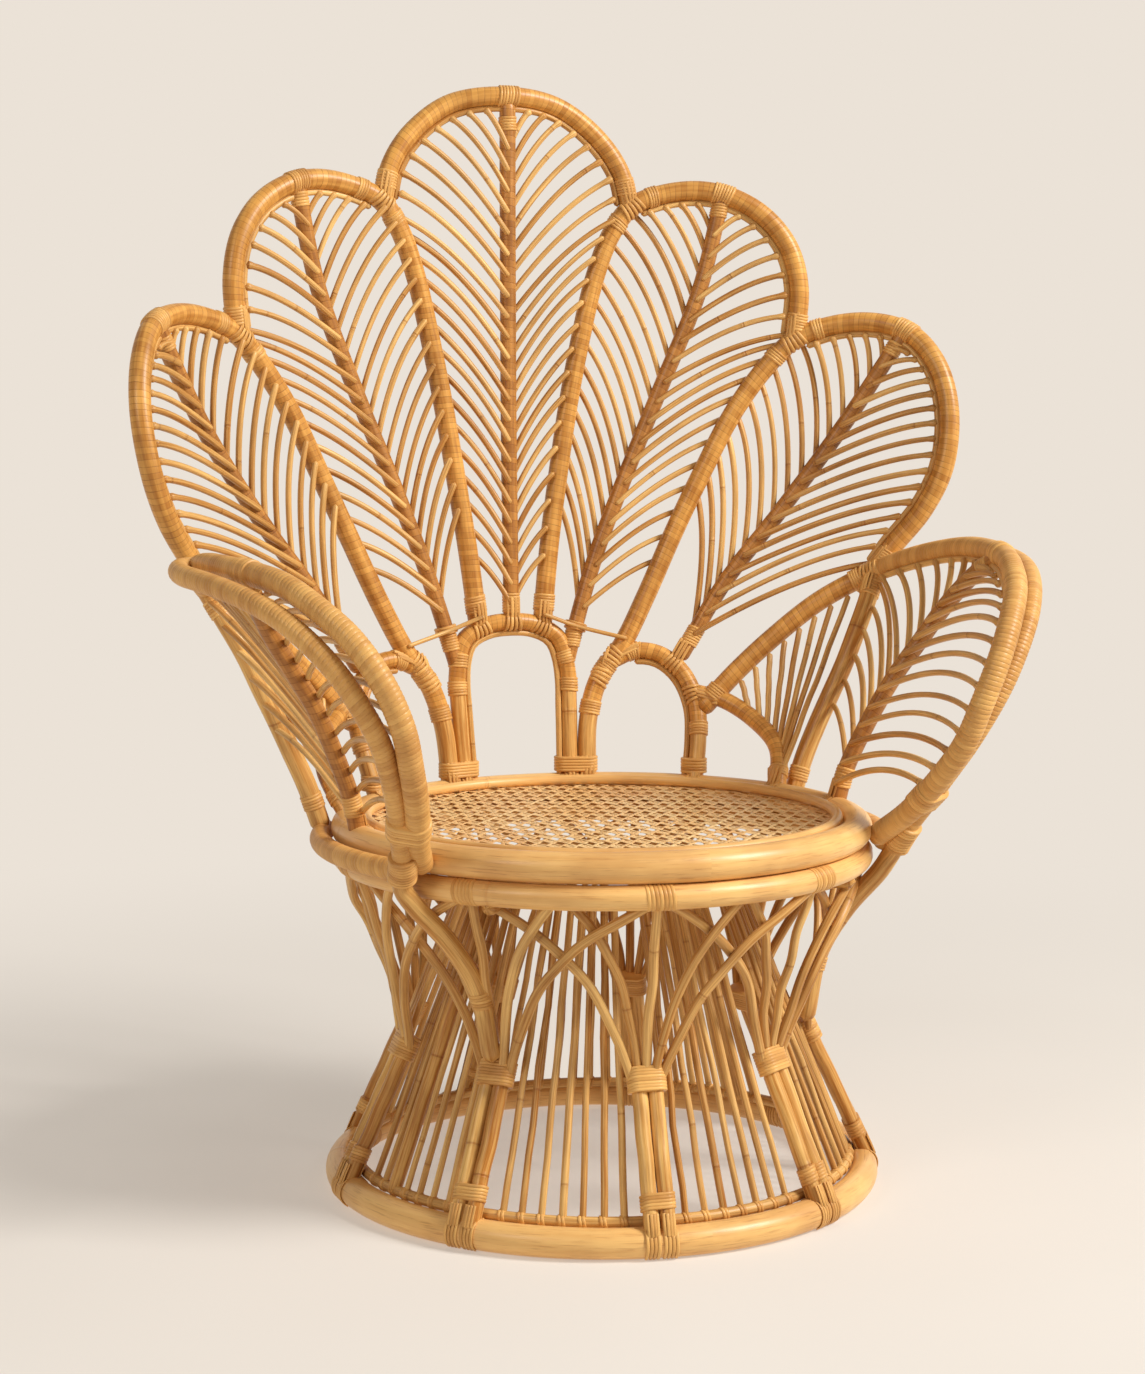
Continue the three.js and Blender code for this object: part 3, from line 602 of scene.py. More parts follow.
    def straps_over(
        self, centre: Array, along: Array, back: Array, radius: float, pole: float, count: int
    ) -> None:
        """Lays strands side by side from the front of a pole over the pole that it stands on.

        Round the pole beneath, a strand is c + (R + lift)(F cos a + U sin a) + side, for a falling angle a.

        Args:
            centre: centre of the pole beneath, at the joint.
            along: its direction there.
            back: direction in which the upper pole leaves the joint.
            radius: radius of the pole beneath.
            pole: radius of the upper pole.
            count: number of strands.
        """
        straps = Straps()
        along, back = unit(along), unit(back)
        towards = unit(back - np.dot(back, along) * along)
        front = unit(np.cross(along, towards))
        if np.dot(front, -self.sizes.outward(centre)) < 0:
            front = -front
        turns = np.radians(np.linspace(straps.first_degrees, straps.last_degrees, straps.stations))
        faces = np.cos(turns)[:, None] * front + np.sin(turns)[:, None] * towards
        splay = np.linspace(1.0, straps.splay, straps.stations)[:, None]
        for place in np.linspace(-0.5, 0.5, count):
            aside = place * (count - 1) * straps.spacing
            side = along * aside
            depth = pole * math.sqrt(max(1.0 - (aside / pole) ** 2, straps.least_depth))
            high = centre + back * (radius + straps.reach) + front * (depth + straps.start_lift) + side
            low = centre + back * (radius + 0.5 * straps.reach) + front * (depth + straps.lift) + side
            beneath = centre + (radius + straps.lift) * faces + splay * side
            self.strap(np.vstack([high, low, beneath]), np.vstack([front, front, faces]), straps)

    def joint(
        self, line: Line, at_end: bool, other: Line, *, strands: int, straps: int, gap: float
    ) -> None:
        """Lashes the end of a pole to another pole: a collar on the first and strands over the second.

        Args:
            line: the pole that ends.
            at_end: whether it is its last end.
            other: the pole that it meets.
            strands: strands of the collar.
            straps: strands over the other pole.
            gap: bare stretch between the joint and the collar.
        """
        end = line.at(1.0 if at_end else 0.0)
        share = other.near(end)
        centre = other.at(share)
        back = line.tangent(1.0 if at_end else 0.0) * (-1.0 if at_end else 1.0)
        winding = self.chance_winding()
        if straps:
            self.straps_over(centre, other.tangent(share), back, other.radius, line.radius, straps)
        if strands:
            far = (other.radius + gap + 0.5 * strands * winding.pitch) / line.length
            self.bind(line, 1.0 - far if at_end else far, strands, winding=winding)

    def make(self, node: str, materials: Materials) -> None:
        """Makes the mesh object that stands for a CAD node, at the origin and riding on the root body.

        Args:
            node: name of the node.
            materials: material of each finish.
        """
        used = list(dict.fromkeys(finish for _, _, finish in self.faces))
        corners = np.concatenate([quads.ravel() for quads, _, _ in self.faces])
        totals = np.concatenate([np.full(len(quads), quads.shape[1]) for quads, _, _ in self.faces])
        starts = np.concatenate([[0], np.cumsum(totals)[:-1]])
        index = np.concatenate([np.full(len(quads), used.index(finish)) for quads, _, finish in self.faces])
        wraps = np.concatenate([wrap.reshape(-1, 2) for _, wrap, _ in self.faces])
        mesh = bpy.data.meshes.new(f"dressed_{node}")
        mesh.vertices.add(self.count)
        mesh.vertices.foreach_set("co", np.vstack(self.vertices).astype(np.float32).ravel())
        mesh.loops.add(len(corners))
        mesh.loops.foreach_set("vertex_index", corners.astype(np.int32))
        mesh.polygons.add(len(totals))
        mesh.polygons.foreach_set("loop_start", starts.astype(np.int32))
        mesh.polygons.foreach_set("material_index", index.astype(np.int32))
        mesh.polygons.foreach_set("use_smooth", np.ones(len(totals), bool))
        mesh.uv_layers.new(name=WRAP_MAP).data.foreach_set("uv", wraps.astype(np.float32).ravel())
        tone = mesh.attributes.new(TONE, "FLOAT", "POINT")
        tone.data.foreach_set("value", np.concatenate(self.tones).astype(np.float32))
        mesh.update(calc_edges=True)
        for finish in used:
            mesh.materials.append(materials[finish])
        piece = bpy.data.objects.new(f"dressed_{node}", mesh)
        bpy.context.scene.collection.objects.link(piece)
        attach(piece, "root")
        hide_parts(node)
        log.info("%s: %d faces", piece.name, len(totals))


# Materials


def linear(red: int, green: int, blue: int) -> Colour:
    """A colour given as 0 to 255 on screen, as the light it stands for: ((c + 0.055) / 1.055) ^ 2.4."""
    shares = (channel / 255.0 for channel in (red, green, blue))
    light = (s / 12.92 if s <= 0.04045 else ((s + 0.055) / 1.055) ** 2.4 for s in shares)
    return (*light, 1.0)


class Wiring:
    """Short calls that add and link the nodes of one tree."""

    def __init__(self, tree: bpy.types.NodeTree) -> None:
        """Keeps the tree."""
        self.tree = tree

    def node(self, kind: str, **settings: object) -> bpy.types.Node:
        """Adds a node and sets its properties."""
        made = self.tree.nodes.new(kind)
        for name, value in settings.items():
            setattr(made, name, value)
        return made

    def feed(self, socket: Socket, value: object) -> None:
        """Links a socket to another, or sets its value."""
        if isinstance(value, bpy.types.NodeSocket):
            self.tree.links.new(value, socket)
        else:
            socket.default_value = value

    def fed(self, kind: str, *values: object, **settings: object) -> Socket:
        """Adds a node, feeds its inputs in their order and gives its first output."""
        made = self.node(kind, **settings)
        for socket, value in zip(made.inputs, values):
            self.feed(socket, value)
        return made.outputs[0]

    def math(self, operation: str, *values: Value, clamp: bool = False) -> Socket:
        """One Math node."""
        return self.fed("ShaderNodeMath", *values, operation=operation, use_clamp=clamp)

    def joined(self, x: Value, y: Value, z: Value) -> Socket:
        """A vector of three values."""
        return self.fed("ShaderNodeCombineXYZ", x, y, z)

    def blend(self, share: Value, first: object, second: object, mode: str = "MIX") -> Socket:
        """One colour Mix node, whose colours are its inputs 6 and 7 and its output 2."""
        made = self.node("ShaderNodeMix", data_type="RGBA", blend_type=mode)
        for number, value in ((0, share), (6, first), (7, second)):
            self.feed(made.inputs[number], value)
        return made.outputs[2]

    def between(self, value: Value, bounds: Span, to: Span = (0.0, 1.0)) -> Socket:
        """A smooth step of a value from one range to another."""
        return self.fed("ShaderNodeMapRange", value, *bounds, *to, interpolation_type="SMOOTHSTEP")

    def noise(self, vector: Socket, scale: float = 1.0, detail: float = 3.0, rough: float = 0.55) -> Socket:
        """Noise of a vector, from 0 to 1."""
        made = self.node("ShaderNodeTexNoise")
        for name, value in (("Vector", vector), ("Scale", scale), ("Detail", detail), ("Roughness", rough)):
            self.feed(made.inputs[name], value)
        return made.outputs[0]


def new_group(
    name: str, inputs: tuple[str, ...], outputs: tuple[str, ...]
) -> tuple[Wiring, Sockets, Sockets]:
    """Starts a shader node group whose sockets are all single values.

    Args:
        name: name of the group.
        inputs: names of its inputs.
        outputs: names of its outputs.

    Returns:
        Its wiring, its inputs by name and the sockets to feed by name.
    """
    tree = bpy.data.node_groups.new(name, "ShaderNodeTree")
    for sockets, way in ((inputs, "INPUT"), (outputs, "OUTPUT")):
        for socket in sockets:
            tree.interface.new_socket(socket, in_out=way, socket_type="NodeSocketFloat")
    wiring = Wiring(tree)
    entry, leave = wiring.node("NodeGroupInput"), wiring.node("NodeGroupOutput")
    return wiring, {n: entry.outputs[n] for n in inputs}, {n: leave.inputs[n] for n in outputs}


class Effects:
    """The shared effects: cane fibre, close winding, growth knuckles and patina."""

    def __init__(self) -> None:
        """Builds each group once."""
        self.fibre = self._fibre()
        self.winding = self._winding()
        self.knuckle = self._knuckle()
        self.patina = self._patina()

    @staticmethod
    def _fibre() -> bpy.types.NodeTree:
        """Streaks along a cane: noise on (k cos a, k sin a, run), which has no seam round the cane."""
        w, given, out = new_group("cane_fibre", ("Run", "Turn", "Seed"), ("Streak", "Hair", "Mottle"))
        seed_shift = 19.0
        waves = (("Streak", 2.1, 9.0), ("Hair", 8.5, 26.0), ("Mottle", 0.9, 30.0))
        angle = w.math("MULTIPLY", given["Turn"], TURN)
        shift = w.math("MULTIPLY", given["Seed"], seed_shift)
        cos, sin = w.math("COSINE", angle), w.math("SINE", angle)
        for name, round_it, per_metre in waves:
            run = w.math("MULTIPLY_ADD", given["Run"], per_metre, shift)
            vector = w.joined(w.math("MULTIPLY", cos, round_it), w.math("MULTIPLY", sin, round_it), run)
            w.feed(out[name], w.noise(vector, detail=4.0, rough=0.6))
        return w.tree

    @staticmethod
    def _winding() -> bpy.types.NodeTree:
        """A strip wound round a pole: phase = run / pitch + turn, strip number = turn - floor(phase)."""
        sockets = ("Run", "Turn", "Pitch", "Seed")
        w, given, out = new_group("wound_strip", sockets, ("Height", "Groove", "Strip"))
        uneven_scale, uneven_turns, seed_shift = 34.0, 1.6, 31.0
        edge_power, groove_bounds, strip_scale = 8.0, (0.84, 1.0), 0.83
        uneven = w.noise(w.joined(given["Seed"], 0.0, given["Run"]), uneven_scale, detail=1.0)
        turns = w.math("ADD", w.math("DIVIDE", given["Run"], given["Pitch"]), given["Turn"])
        phase = w.math("MULTIPLY_ADD", uneven, uneven_turns, turns)
        centred = w.math("ABSOLUTE", w.math("MULTIPLY_ADD", w.math("FRACT", phase), 2.0, -1.0))
        fall = w.math("SUBTRACT", 1.0, w.math("POWER", centred, edge_power), clamp=True)
        w.feed(out["Height"], w.math("SQRT", fall))
        # Mask of the grooves between the turns; the wrapped finish darkens them with it, dark joints and
        # painted shade, and roughens them.
        w.feed(out["Groove"], w.between(centred, groove_bounds))
        number = w.math("SUBTRACT", given["Turn"], w.math("FLOOR", phase))
        strip = w.joined(number, w.math("MULTIPLY", given["Seed"], seed_shift), 0.0)
        w.feed(out["Strip"], w.noise(strip, strip_scale, detail=2.0, rough=0.7))
        return w.tree

    @staticmethod
    def _knuckle() -> bpy.types.NodeTree:
        """Growth rings of bare cane: |distance to the nearest of uneven points along it|."""
        w, given, out = new_group("growth_knuckle", ("Run", "Seed", "Spacing"), ("Ring", "Scar"))
        seed_shift, ring_bounds, scar_bounds = 37.0, (0.0, 0.006), (0.0006, 0.0016)
        near = w.node("ShaderNodeTexVoronoi", voronoi_dimensions="1D")
        along = w.math("DIVIDE", given["Run"], given["Spacing"])
        w.feed(near.inputs["W"], w.math("MULTIPLY_ADD", given["Seed"], seed_shift, along))
        w.feed(near.inputs["Scale"], 1.0)
        distance = w.math("MULTIPLY", near.outputs["Distance"], given["Spacing"])
        w.feed(out["Ring"], w.between(distance, ring_bounds, (1.0, 0.0)))
        w.feed(out["Scar"], w.between(distance, scar_bounds, (1.0, 0.0)))
        return w.tree

    @staticmethod
    def _patina() -> bpy.types.NodeTree:
        """Where the varnish has gone darker: soft patches some centimetres across."""
        w, given, out = new_group("varnish_patina", ("Amount",), ("Mask",))
        patch_scale, patch_bounds = 9.0, (0.42, 0.72)
        place = w.node("ShaderNodeTexCoord").outputs["Object"]
        patch = w.between(w.noise(place, patch_scale), patch_bounds)
        w.feed(out["Mask"], w.math("MULTIPLY", patch, given["Amount"]))
        return w.tree


@dataclass(frozen=True)
class Relief:
    """Strength of a bump and its depth in metres."""

    strength: float
    depth: float


@dataclass(frozen=True)
class Gloss:
    """The varnish: its weight and roughness, and the shine of the cane beneath."""

    coat: float
    coat_rough: float
    specular: float = 0.22


class Surface:
    """The shader, the wrap map and the tone that every material of the scene starts from."""

    def __init__(self, name: str, effects: Effects) -> None:
        """Starts a material."""
        self.material = bpy.data.materials.new(name)
        self.material.use_nodes = True
        tree = self.material.node_tree
        tree.nodes.clear()
        self.w = Wiring(tree)
        self.effects = effects
        self.shader = self.w.node("ShaderNodeBsdfPrincipled")
        self.out = self.w.node("ShaderNodeOutputMaterial")
        self.w.feed(self.out.inputs["Surface"], self.shader.outputs[0])
        uv = self.w.node("ShaderNodeUVMap", uv_map=WRAP_MAP)
        parts = self.w.node("ShaderNodeSeparateXYZ")
        self.w.feed(parts.inputs[0], uv.outputs[0])
        self.run, self.turn = parts.outputs[0], parts.outputs[1]
        self.tone = self.w.node("ShaderNodeAttribute", attribute_name=TONE).outputs["Fac"]
        self.place = self.w.node("ShaderNodeTexCoord").outputs["Object"]

    def use(self, tree: bpy.types.NodeTree, **values: Value) -> Sockets:
        """Places a group and feeds its inputs by name."""
        made = self.w.node("ShaderNodeGroup", node_tree=tree)
        for name, value in values.items():
            self.w.feed(made.inputs[name], value)
        return {socket.name: socket for socket in made.outputs}

    def bump(self, height: Value, relief: Relief, under: Socket | None = None) -> Socket:
        """One Bump node, on top of another if given."""
        made = self.w.node("ShaderNodeBump")
        self.w.feed(made.inputs["Strength"], relief.strength)
        self.w.feed(made.inputs["Distance"], relief.depth)
        self.w.feed(made.inputs["Height"], height)
        if under is not None:
            self.w.feed(made.inputs["Normal"], under)
        return made.outputs[0]

    def finish(
        self, colour: Socket, warm: Colour, patina: float, rough: Socket, normal: Socket, gloss: Gloss
    ) -> bpy.types.Material:
        """Feeds the shader and sets the constants of the varnish on its own sockets.

        Args:
            colour: colour of the cane.
            warm: the tint where the varnish has gone darker.
            patina: how strong that tint is at most.
            rough: roughness of the cane.
            normal: its bumps.
            gloss: its varnish.

        Returns:
            The finished material.
        """
        mask = self.use(self.effects.patina, Amount=patina)["Mask"]
        sockets = self.shader.inputs
        self.w.feed(sockets["Base Color"], self.w.blend(mask, colour, warm, "MULTIPLY"))
        self.w.feed(sockets["Roughness"], rough)
        self.w.feed(sockets["Normal"], normal)
        sockets["Coat Weight"].default_value = gloss.coat
        sockets["Coat Roughness"].default_value = gloss.coat_rough
        sockets["Specular IOR Level"].default_value = gloss.specular
        return self.material


@dataclass(frozen=True)
class CaneFinish:
    """Bare cane with its skin on: fibre streaks, growth rings and a thin varnish."""

    name: str
    light: Colour
    dark: Colour
    ring: Colour
    spacing: float = 0.28
    rough: float = 0.38
    rough_spread: float = 0.22
    gloss: Gloss = Gloss(0.12, 0.28)
    fibre: float = 0.6
    shade: float = 0.45
    hair: float = 0.35
    halo: float = 0.35
    scar: float = 0.6
    patina: float = 0.3
    streak_bounds: Span = (0.3, 0.7)
    hair_bounds: Span = (0.52, 0.7)
    scar_depth: float = 0.8
    fine: Relief = Relief(0.25, 0.0008)
    raised: Relief = Relief(0.5, 0.0012)

    def build(self, effects: Effects) -> bpy.types.Material:
        """Builds the material."""
        s = Surface(self.name, effects)
        w = s.w
        grain = s.use(effects.fibre, Run=s.run, Turn=s.turn, Seed=s.tone)
        knots = s.use(effects.knuckle, Run=s.run, Seed=s.tone, Spacing=self.spacing)
        streak = w.between(grain["Streak"], self.streak_bounds)
        shade = w.math("MULTIPLY", s.tone, self.shade)
        share = w.math("MULTIPLY_ADD", streak, self.fibre, shade, clamp=True)
        colour = w.blend(share, self.light, self.dark)
        hair = w.math("MULTIPLY", w.between(grain["Hair"], self.hair_bounds), self.hair)
        colour = w.blend(hair, colour, self.ring, "MULTIPLY")
        colour = w.blend(w.math("MULTIPLY", knots["Ring"], self.halo * self.scar), colour, self.ring)
        colour = w.blend(w.math("MULTIPLY", knots["Scar"], self.scar), colour, self.dark, "MULTIPLY")
        least = self.rough - 0.5 * self.rough_spread
        rough = w.math("MULTIPLY_ADD", grain["Mottle"], self.rough_spread, least)
        height = w.math("SUBTRACT", knots["Ring"], w.math("MULTIPLY", knots["Scar"], self.scar_depth))
        normal = s.bump(height, self.raised, s.bump(grain["Hair"], self.fine))
        return s.finish(colour, self.ring, self.patina, rough, normal, self.gloss)


@dataclass(frozen=True)
class WrappedFinish:
    """A pole wound closely with a flat strip of peel, whose grooves between the turns are darkened: dark
    joints of the strip, and painted shade in the grooves.
    """

    name: str
    light: Colour
    dark: Colour
    # Colour in the grooves between the turns: the dark joints of the strip, and painted shade in the
    # grooves.
    groove_and_shade: Colour
    pitch: float = 0.0070
    rough: float = 0.34
    rough_groove: float = 0.3
    rough_spread: float = 0.15
    gloss: Gloss = Gloss(0.22, 0.3)
    strip: float = 0.4
    streak: float = 0.5
    deep: float = 0.7
    worn: float = 0.35
    patina: float = 0.28
    shade_bounds: Span = (0.32, 0.68)
    worn_bounds: Span = (0.35, 0.65)
    fine: Relief = Relief(0.12, 0.0006)
    raised: Relief = Relief(0.3, 0.0008)

    def build(self, effects: Effects) -> bpy.types.Material:
        """Builds the material."""
        s = Surface(self.name, effects)
        w = s.w
        wound = s.use(effects.winding, Run=s.run, Turn=s.turn, Pitch=self.pitch, Seed=s.tone)
        grain = s.use(effects.fibre, Run=s.run, Turn=s.turn, Seed=s.tone)
        strip = w.between(wound["Strip"], self.shade_bounds)
        streak = w.math("MULTIPLY", w.between(grain["Streak"], self.shade_bounds), self.streak)
        share = w.math("MULTIPLY_ADD", strip, self.strip, streak, clamp=True)
        colour = w.blend(share, self.light, self.dark)
        # The grooves take that colour, more deeply in some stretches than others: dark joints, and painted
        # shade in the grooves.
        worn = w.between(grain["Mottle"], self.worn_bounds, (self.deep, self.worn * self.deep))
        colour = w.blend(w.math("MULTIPLY", wound["Groove"], worn), colour, self.groove_and_shade)
        rough = w.math("MULTIPLY_ADD", wound["Groove"], self.rough_groove, self.rough)
        rough = w.math("MULTIPLY_ADD", grain["Mottle"], self.rough_spread, rough)
        normal = s.bump(wound["Height"], self.raised, s.bump(grain["Hair"], self.fine))
        return s.finish(colour, self.groove_and_shade, self.patina, rough, normal, self.gloss)


@dataclass(frozen=True)
class StrandFinish:
    """Strands of peel, whose round shape is in the mesh: fine threads along them and soft mottling."""

    name: str
    light: Colour
    dark: Colour
    rough: float = 0.38
    gloss: Gloss = Gloss(0.1, 0.3)
    threads_round: float = 9.0
    threads_per_metre: float = 1400.0
    seed_shift: float = 50.0
    mottle_scale: float = 55.0
    shade: float = 0.75
    mottle: float = 0.4
    thin: float = 0.22
    thin_bounds: Span = (0.5, 0.75)
    patina: float = 0.25
    rough_spread: float = 0.25
    rough_drop: float = 0.1
    fine: Relief = Relief(0.2, 0.0005)

    def build(self, effects: Effects) -> bpy.types.Material:
        """Builds the material."""
        s = Surface(self.name, effects)
        w = s.w
        across = w.math("MULTIPLY", s.turn, self.threads_round)
        along = w.math("MULTIPLY", s.run, self.threads_per_metre)
        threads = w.noise(w.joined(along, across, w.math("MULTIPLY", s.tone, self.seed_shift)))
        mottle = w.math("MULTIPLY", w.noise(s.place, self.mottle_scale), self.mottle)
        share = w.math("MULTIPLY_ADD", s.tone, self.shade, mottle, clamp=True)
        colour = w.blend(share, self.dark, self.light)
        thin = w.math("MULTIPLY", w.between(threads, self.thin_bounds), self.thin)
        colour = w.blend(thin, colour, self.dark, "MULTIPLY")
        rough = w.math("MULTIPLY_ADD", threads, self.rough_spread, self.rough - self.rough_drop)
        normal = s.bump(threads, self.fine)
        return s.finish(colour, self.dark, self.patina, rough, normal, self.gloss)


@dataclass(frozen=True)
class FloorFinish:
    """The plain pale floor, which fades into the backdrop's own colour away from the chair.

    Inside the near radius a share of the floor glows in the backdrop's colour: painted light that lightens
    the chair's shadow on the floor and also lights the chair from below.
    """

    name: str
    floor: Colour
    far: Colour
    near_radius: float = 0.35
    far_radius: float = 2.3
    # Share of the floor near the chair that glows: painted light in the chair's shadow.
    shadow_glow: float = 0.45
    shade_scale: float = 1.3
    shade_bounds: Span = (0.3, 0.7)
    shade: float = 0.35
    rough: float = 0.8
    rough_spread: float = 0.1
    specular: float = 0.2

    def build(self, effects: Effects) -> bpy.types.Material:
        """Builds the material: a matt floor mixed with a glow of the backdrop's colour, a share of it near
        the chair as painted light in the chair's shadow, and all of it past the far radius.
        """
        s = Surface(self.name, effects)
        w = s.w
        shade = w.noise(s.place, self.shade_scale, detail=2.0)
        share = w.between(shade, self.shade_bounds, (0.0, self.shade))
        w.feed(s.shader.inputs["Base Color"], w.blend(share, self.floor, self.far))
        w.feed(s.shader.inputs["Roughness"], w.math("MULTIPLY_ADD", shade, self.rough_spread, self.rough))
        s.shader.inputs["Specular IOR Level"].default_value = self.specular
        length = w.node("ShaderNodeVectorMath", operation="LENGTH")
        w.feed(length.inputs[0], s.place)
        radii = (self.near_radius, self.far_radius)
        # Mixes in the glow: painted light in the chair's shadow near it, rising to the plain backdrop
        # colour past the far radius.
        fade = w.between(length.outputs["Value"], radii, (self.shadow_glow, 1.0))
        glow = w.node("ShaderNodeEmission")
        glow.inputs["Color"].default_value = self.far
        mixed = w.fed("ShaderNodeMixShader", fade, s.shader.outputs[0], glow.outputs[0])
        w.feed(s.out.inputs["Surface"], mixed)
        return s.material


def build_palette(effects: Effects) -> Materials:
    """Builds the material of each finish of the chair.

    Args:
        effects: the shared effects.

    Returns:
        The materials by finish.
    """
    # Colour of the grooves between wound turns, dark joints with painted shade in them; also the tint of
    # the patina.
    groove_and_shade = linear(112, 58, 16)
    finishes = {
        Finish.WRAPPED: WrappedFinish(
            "wrapped_rattan", linear(238, 178, 92), linear(168, 103, 34), groove_and_shade
        ),
        Finish.SPINE: WrappedFinish(
            "wrapped_spine", linear(208, 146, 74), linear(136, 80, 30), groove_and_shade, pitch=0.0085
        ),
        Finish.STRAND: StrandFinish("binding_strands", linear(244, 194, 116), linear(170, 106, 42)),
        Finish.CANE: CaneFinish(
            "split_cane", linear(248, 204, 128), linear(178, 116, 48), linear(122, 66, 20), scar=0.3
        ),
        Finish.POLE: CaneFinish(
            "bare_pole",
            linear(248, 202, 122),
            linear(184, 120, 50),
            linear(122, 66, 18),
            fibre=0.75,
            scar=0.4,
        ),
        Finish.POLISHED: CaneFinish(
            "polished_ring",
            linear(250, 205, 132),
            linear(220, 158, 84),
            linear(158, 94, 38),
            spacing=0.6,
            rough=0.38,
            gloss=Gloss(0.2, 0.28),
            fibre=0.35,
            scar=0.15,
        ),
        Finish.WEB: StrandFinish(
            "cane_webbing", linear(254, 220, 160), linear(234, 184, 118), rough=0.45
        ),
    }
    return {finish: plan.build(effects) for finish, plan in finishes.items()}


# Sub-assemblies

CROWN_SHARES = [[27, 0.845], [25.3, 0.895], [20.5, 0.945], [12, 0.988]]
CROWN_TOP_SHARES = [[0, 1]]
INNER_RIM_SHARES = [
    [7.8, 0.225], [9.7, 0.34], [11.9, 0.446], [14.3, 0.552], [16.9, 0.646], [20, 0.739], [23.4, 0.804],
    [27.5, 0.845], [33.3, 0.864], [40, 0.87], [45.5, 0.86], [50.7, 0.831], [54.4, 0.785], [56, 0.725],
    [55.5, 0.645],
]
OUTER_RIM_SHARES = [
    [18, -0.01], [18.4, 0.08], [21, 0.14], [26.2, 0.19], [31, 0.262], [36.2, 0.358], [41, 0.446],
    [46, 0.535], [51, 0.604], [55.5, 0.648], [60.8, 0.669], [66.4, 0.673], [71.3, 0.657], [75.5, 0.612],
    [78, 0.545], [78.6, 0.46], [76.5, 0.395], [73, 0.34], [70.9, 0.298],
]
ARM_RIM_BACK_SHARES = [[45, 0.1], [50.5, 0.15], [56.5, 0.202], [63.3, 0.258], [70.8, 0.302]]
CENTRE_SPINE_SHARES = [[0, 0.985], [0, 0.74], [0, 0.5], [0, 0.225]]
INNER_SPINE_SHARES = [
    [44, 0.865], [40, 0.72], [33.2, 0.575], [26, 0.434], [20.3, 0.325], [16.3, 0.235], [13.7, 0.17],
]
OUTER_SPINE_SHARES = [[70.4, 0.655], [62.7, 0.514], [54.8, 0.391], [46.5, 0.285], [39, 0.175]]
CENTRE_ARCH_SHARES = [[13.8, -0.01], [13.8, 0.1], [13.6, 0.15], [11.6, 0.2], [6.5, 0.222]]
CENTRE_ARCH_TOP_SHARES = [[0, 0.228]]
SIDE_ARCH_SHARES = [
    [24.6, 0.168], [29, 0.18], [34.5, 0.174], [39.6, 0.146], [43.2, 0.1], [44.6, 0.05], [45, -0.01],
]
QUARTER_ARCH_SHARES = [[43, 0.118], [48.5, 0.11], [56, 0.085], [64, 0.047], [69, -0.01]]
ARM_RIM_SHARES = [
    [79.3, 0.65, 0.93], [86.3, 0.68, 0.97], [93.2, 0.69, 0.99], [100, 0.69, 0.99], [107.1, 0.69, 0.98],
    [114.1, 0.69, 0.95], [120.4, 0.7, 0.88], [125.8, 0.69, 0.78], [129.7, 0.66, 0.64], [131.6, 0.6, 0.48],
    [131.4, 0.52, 0.32], [129.4, 0.39, 0.17], [125.4, 0.24, 0.03], [121.5, 0.1, -0.07],
]
ARM_POLE_SHARES = [
    [85.5, 0.7, 0.97], [90, 0.79, 0.97], [95.6, 0.83, 0.96], [101.8, 0.82, 0.945], [107.6, 0.805, 0.92],
    [112.5, 0.79, 0.885], [117.2, 0.775, 0.83], [121.2, 0.755, 0.755], [124.6, 0.72, 0.655],
    [126.9, 0.67, 0.54], [128, 0.605, 0.43], [127.8, 0.52, 0.31], [126.4, 0.42, 0.19], [124.3, 0.32, 0.07],
    [121.6, 0.22, -0.05], [118.8, 0.15, -0.16],
]
ARM_SPINE_SHARES = [
    [106, 0.68, 0.965], [102.6, 0.61, 0.91], [99, 0.5, 0.78], [97.6, 0.38, 0.63], [96.4, 0.25, 0.47],
    [94.7, 0.14, 0.29], [93.2, 0.05, 0.11], [92.5, 0.01, -0.03],
]
ARM_POST_SHARES = [
    [71, 0.64, 0.86], [72, 0.55, 0.74], [72.4, 0.46, 0.61], [72, 0.39, 0.48], [71, 0.32, 0.35],
    [69.8, 0.255, 0.22], [68.9, 0.19, 0.09], [68.2, 0.13, -0.06],
]
ARM_LEG_SHARES = [[0.1, 0.13], [0.33, 0.53], [0.62, 0.87], [1, 1.02]]
ARM_LEG_ENDS = {"right": (62.0, 0.243), "left": (-50.5, 0.255)}

# Places, lengths and seeds that several sub-assemblies go by.
CENTRE_ARCH_MIDDLE = [[0, 0.1]]
SIDE_ARCH_MIDDLE = [[34.5, 0.05]]
RAIL_DEGREES = (64.0, 75.0, 86.0, 97.0, 108.0, 119.0)
RING_GAP = 0.0004
ARM_LEG_RISE = 0.025
ARM_LINING_END = 0.93
SEEDS = {
    "rings": 10, "web": 31, "fans": 100, "legs": 200, "bars": 300, "cage": 301, "centre_leaf": 400,
    "leaves": 410, "crown": 500, "petals": 510, "arms": 560,
}


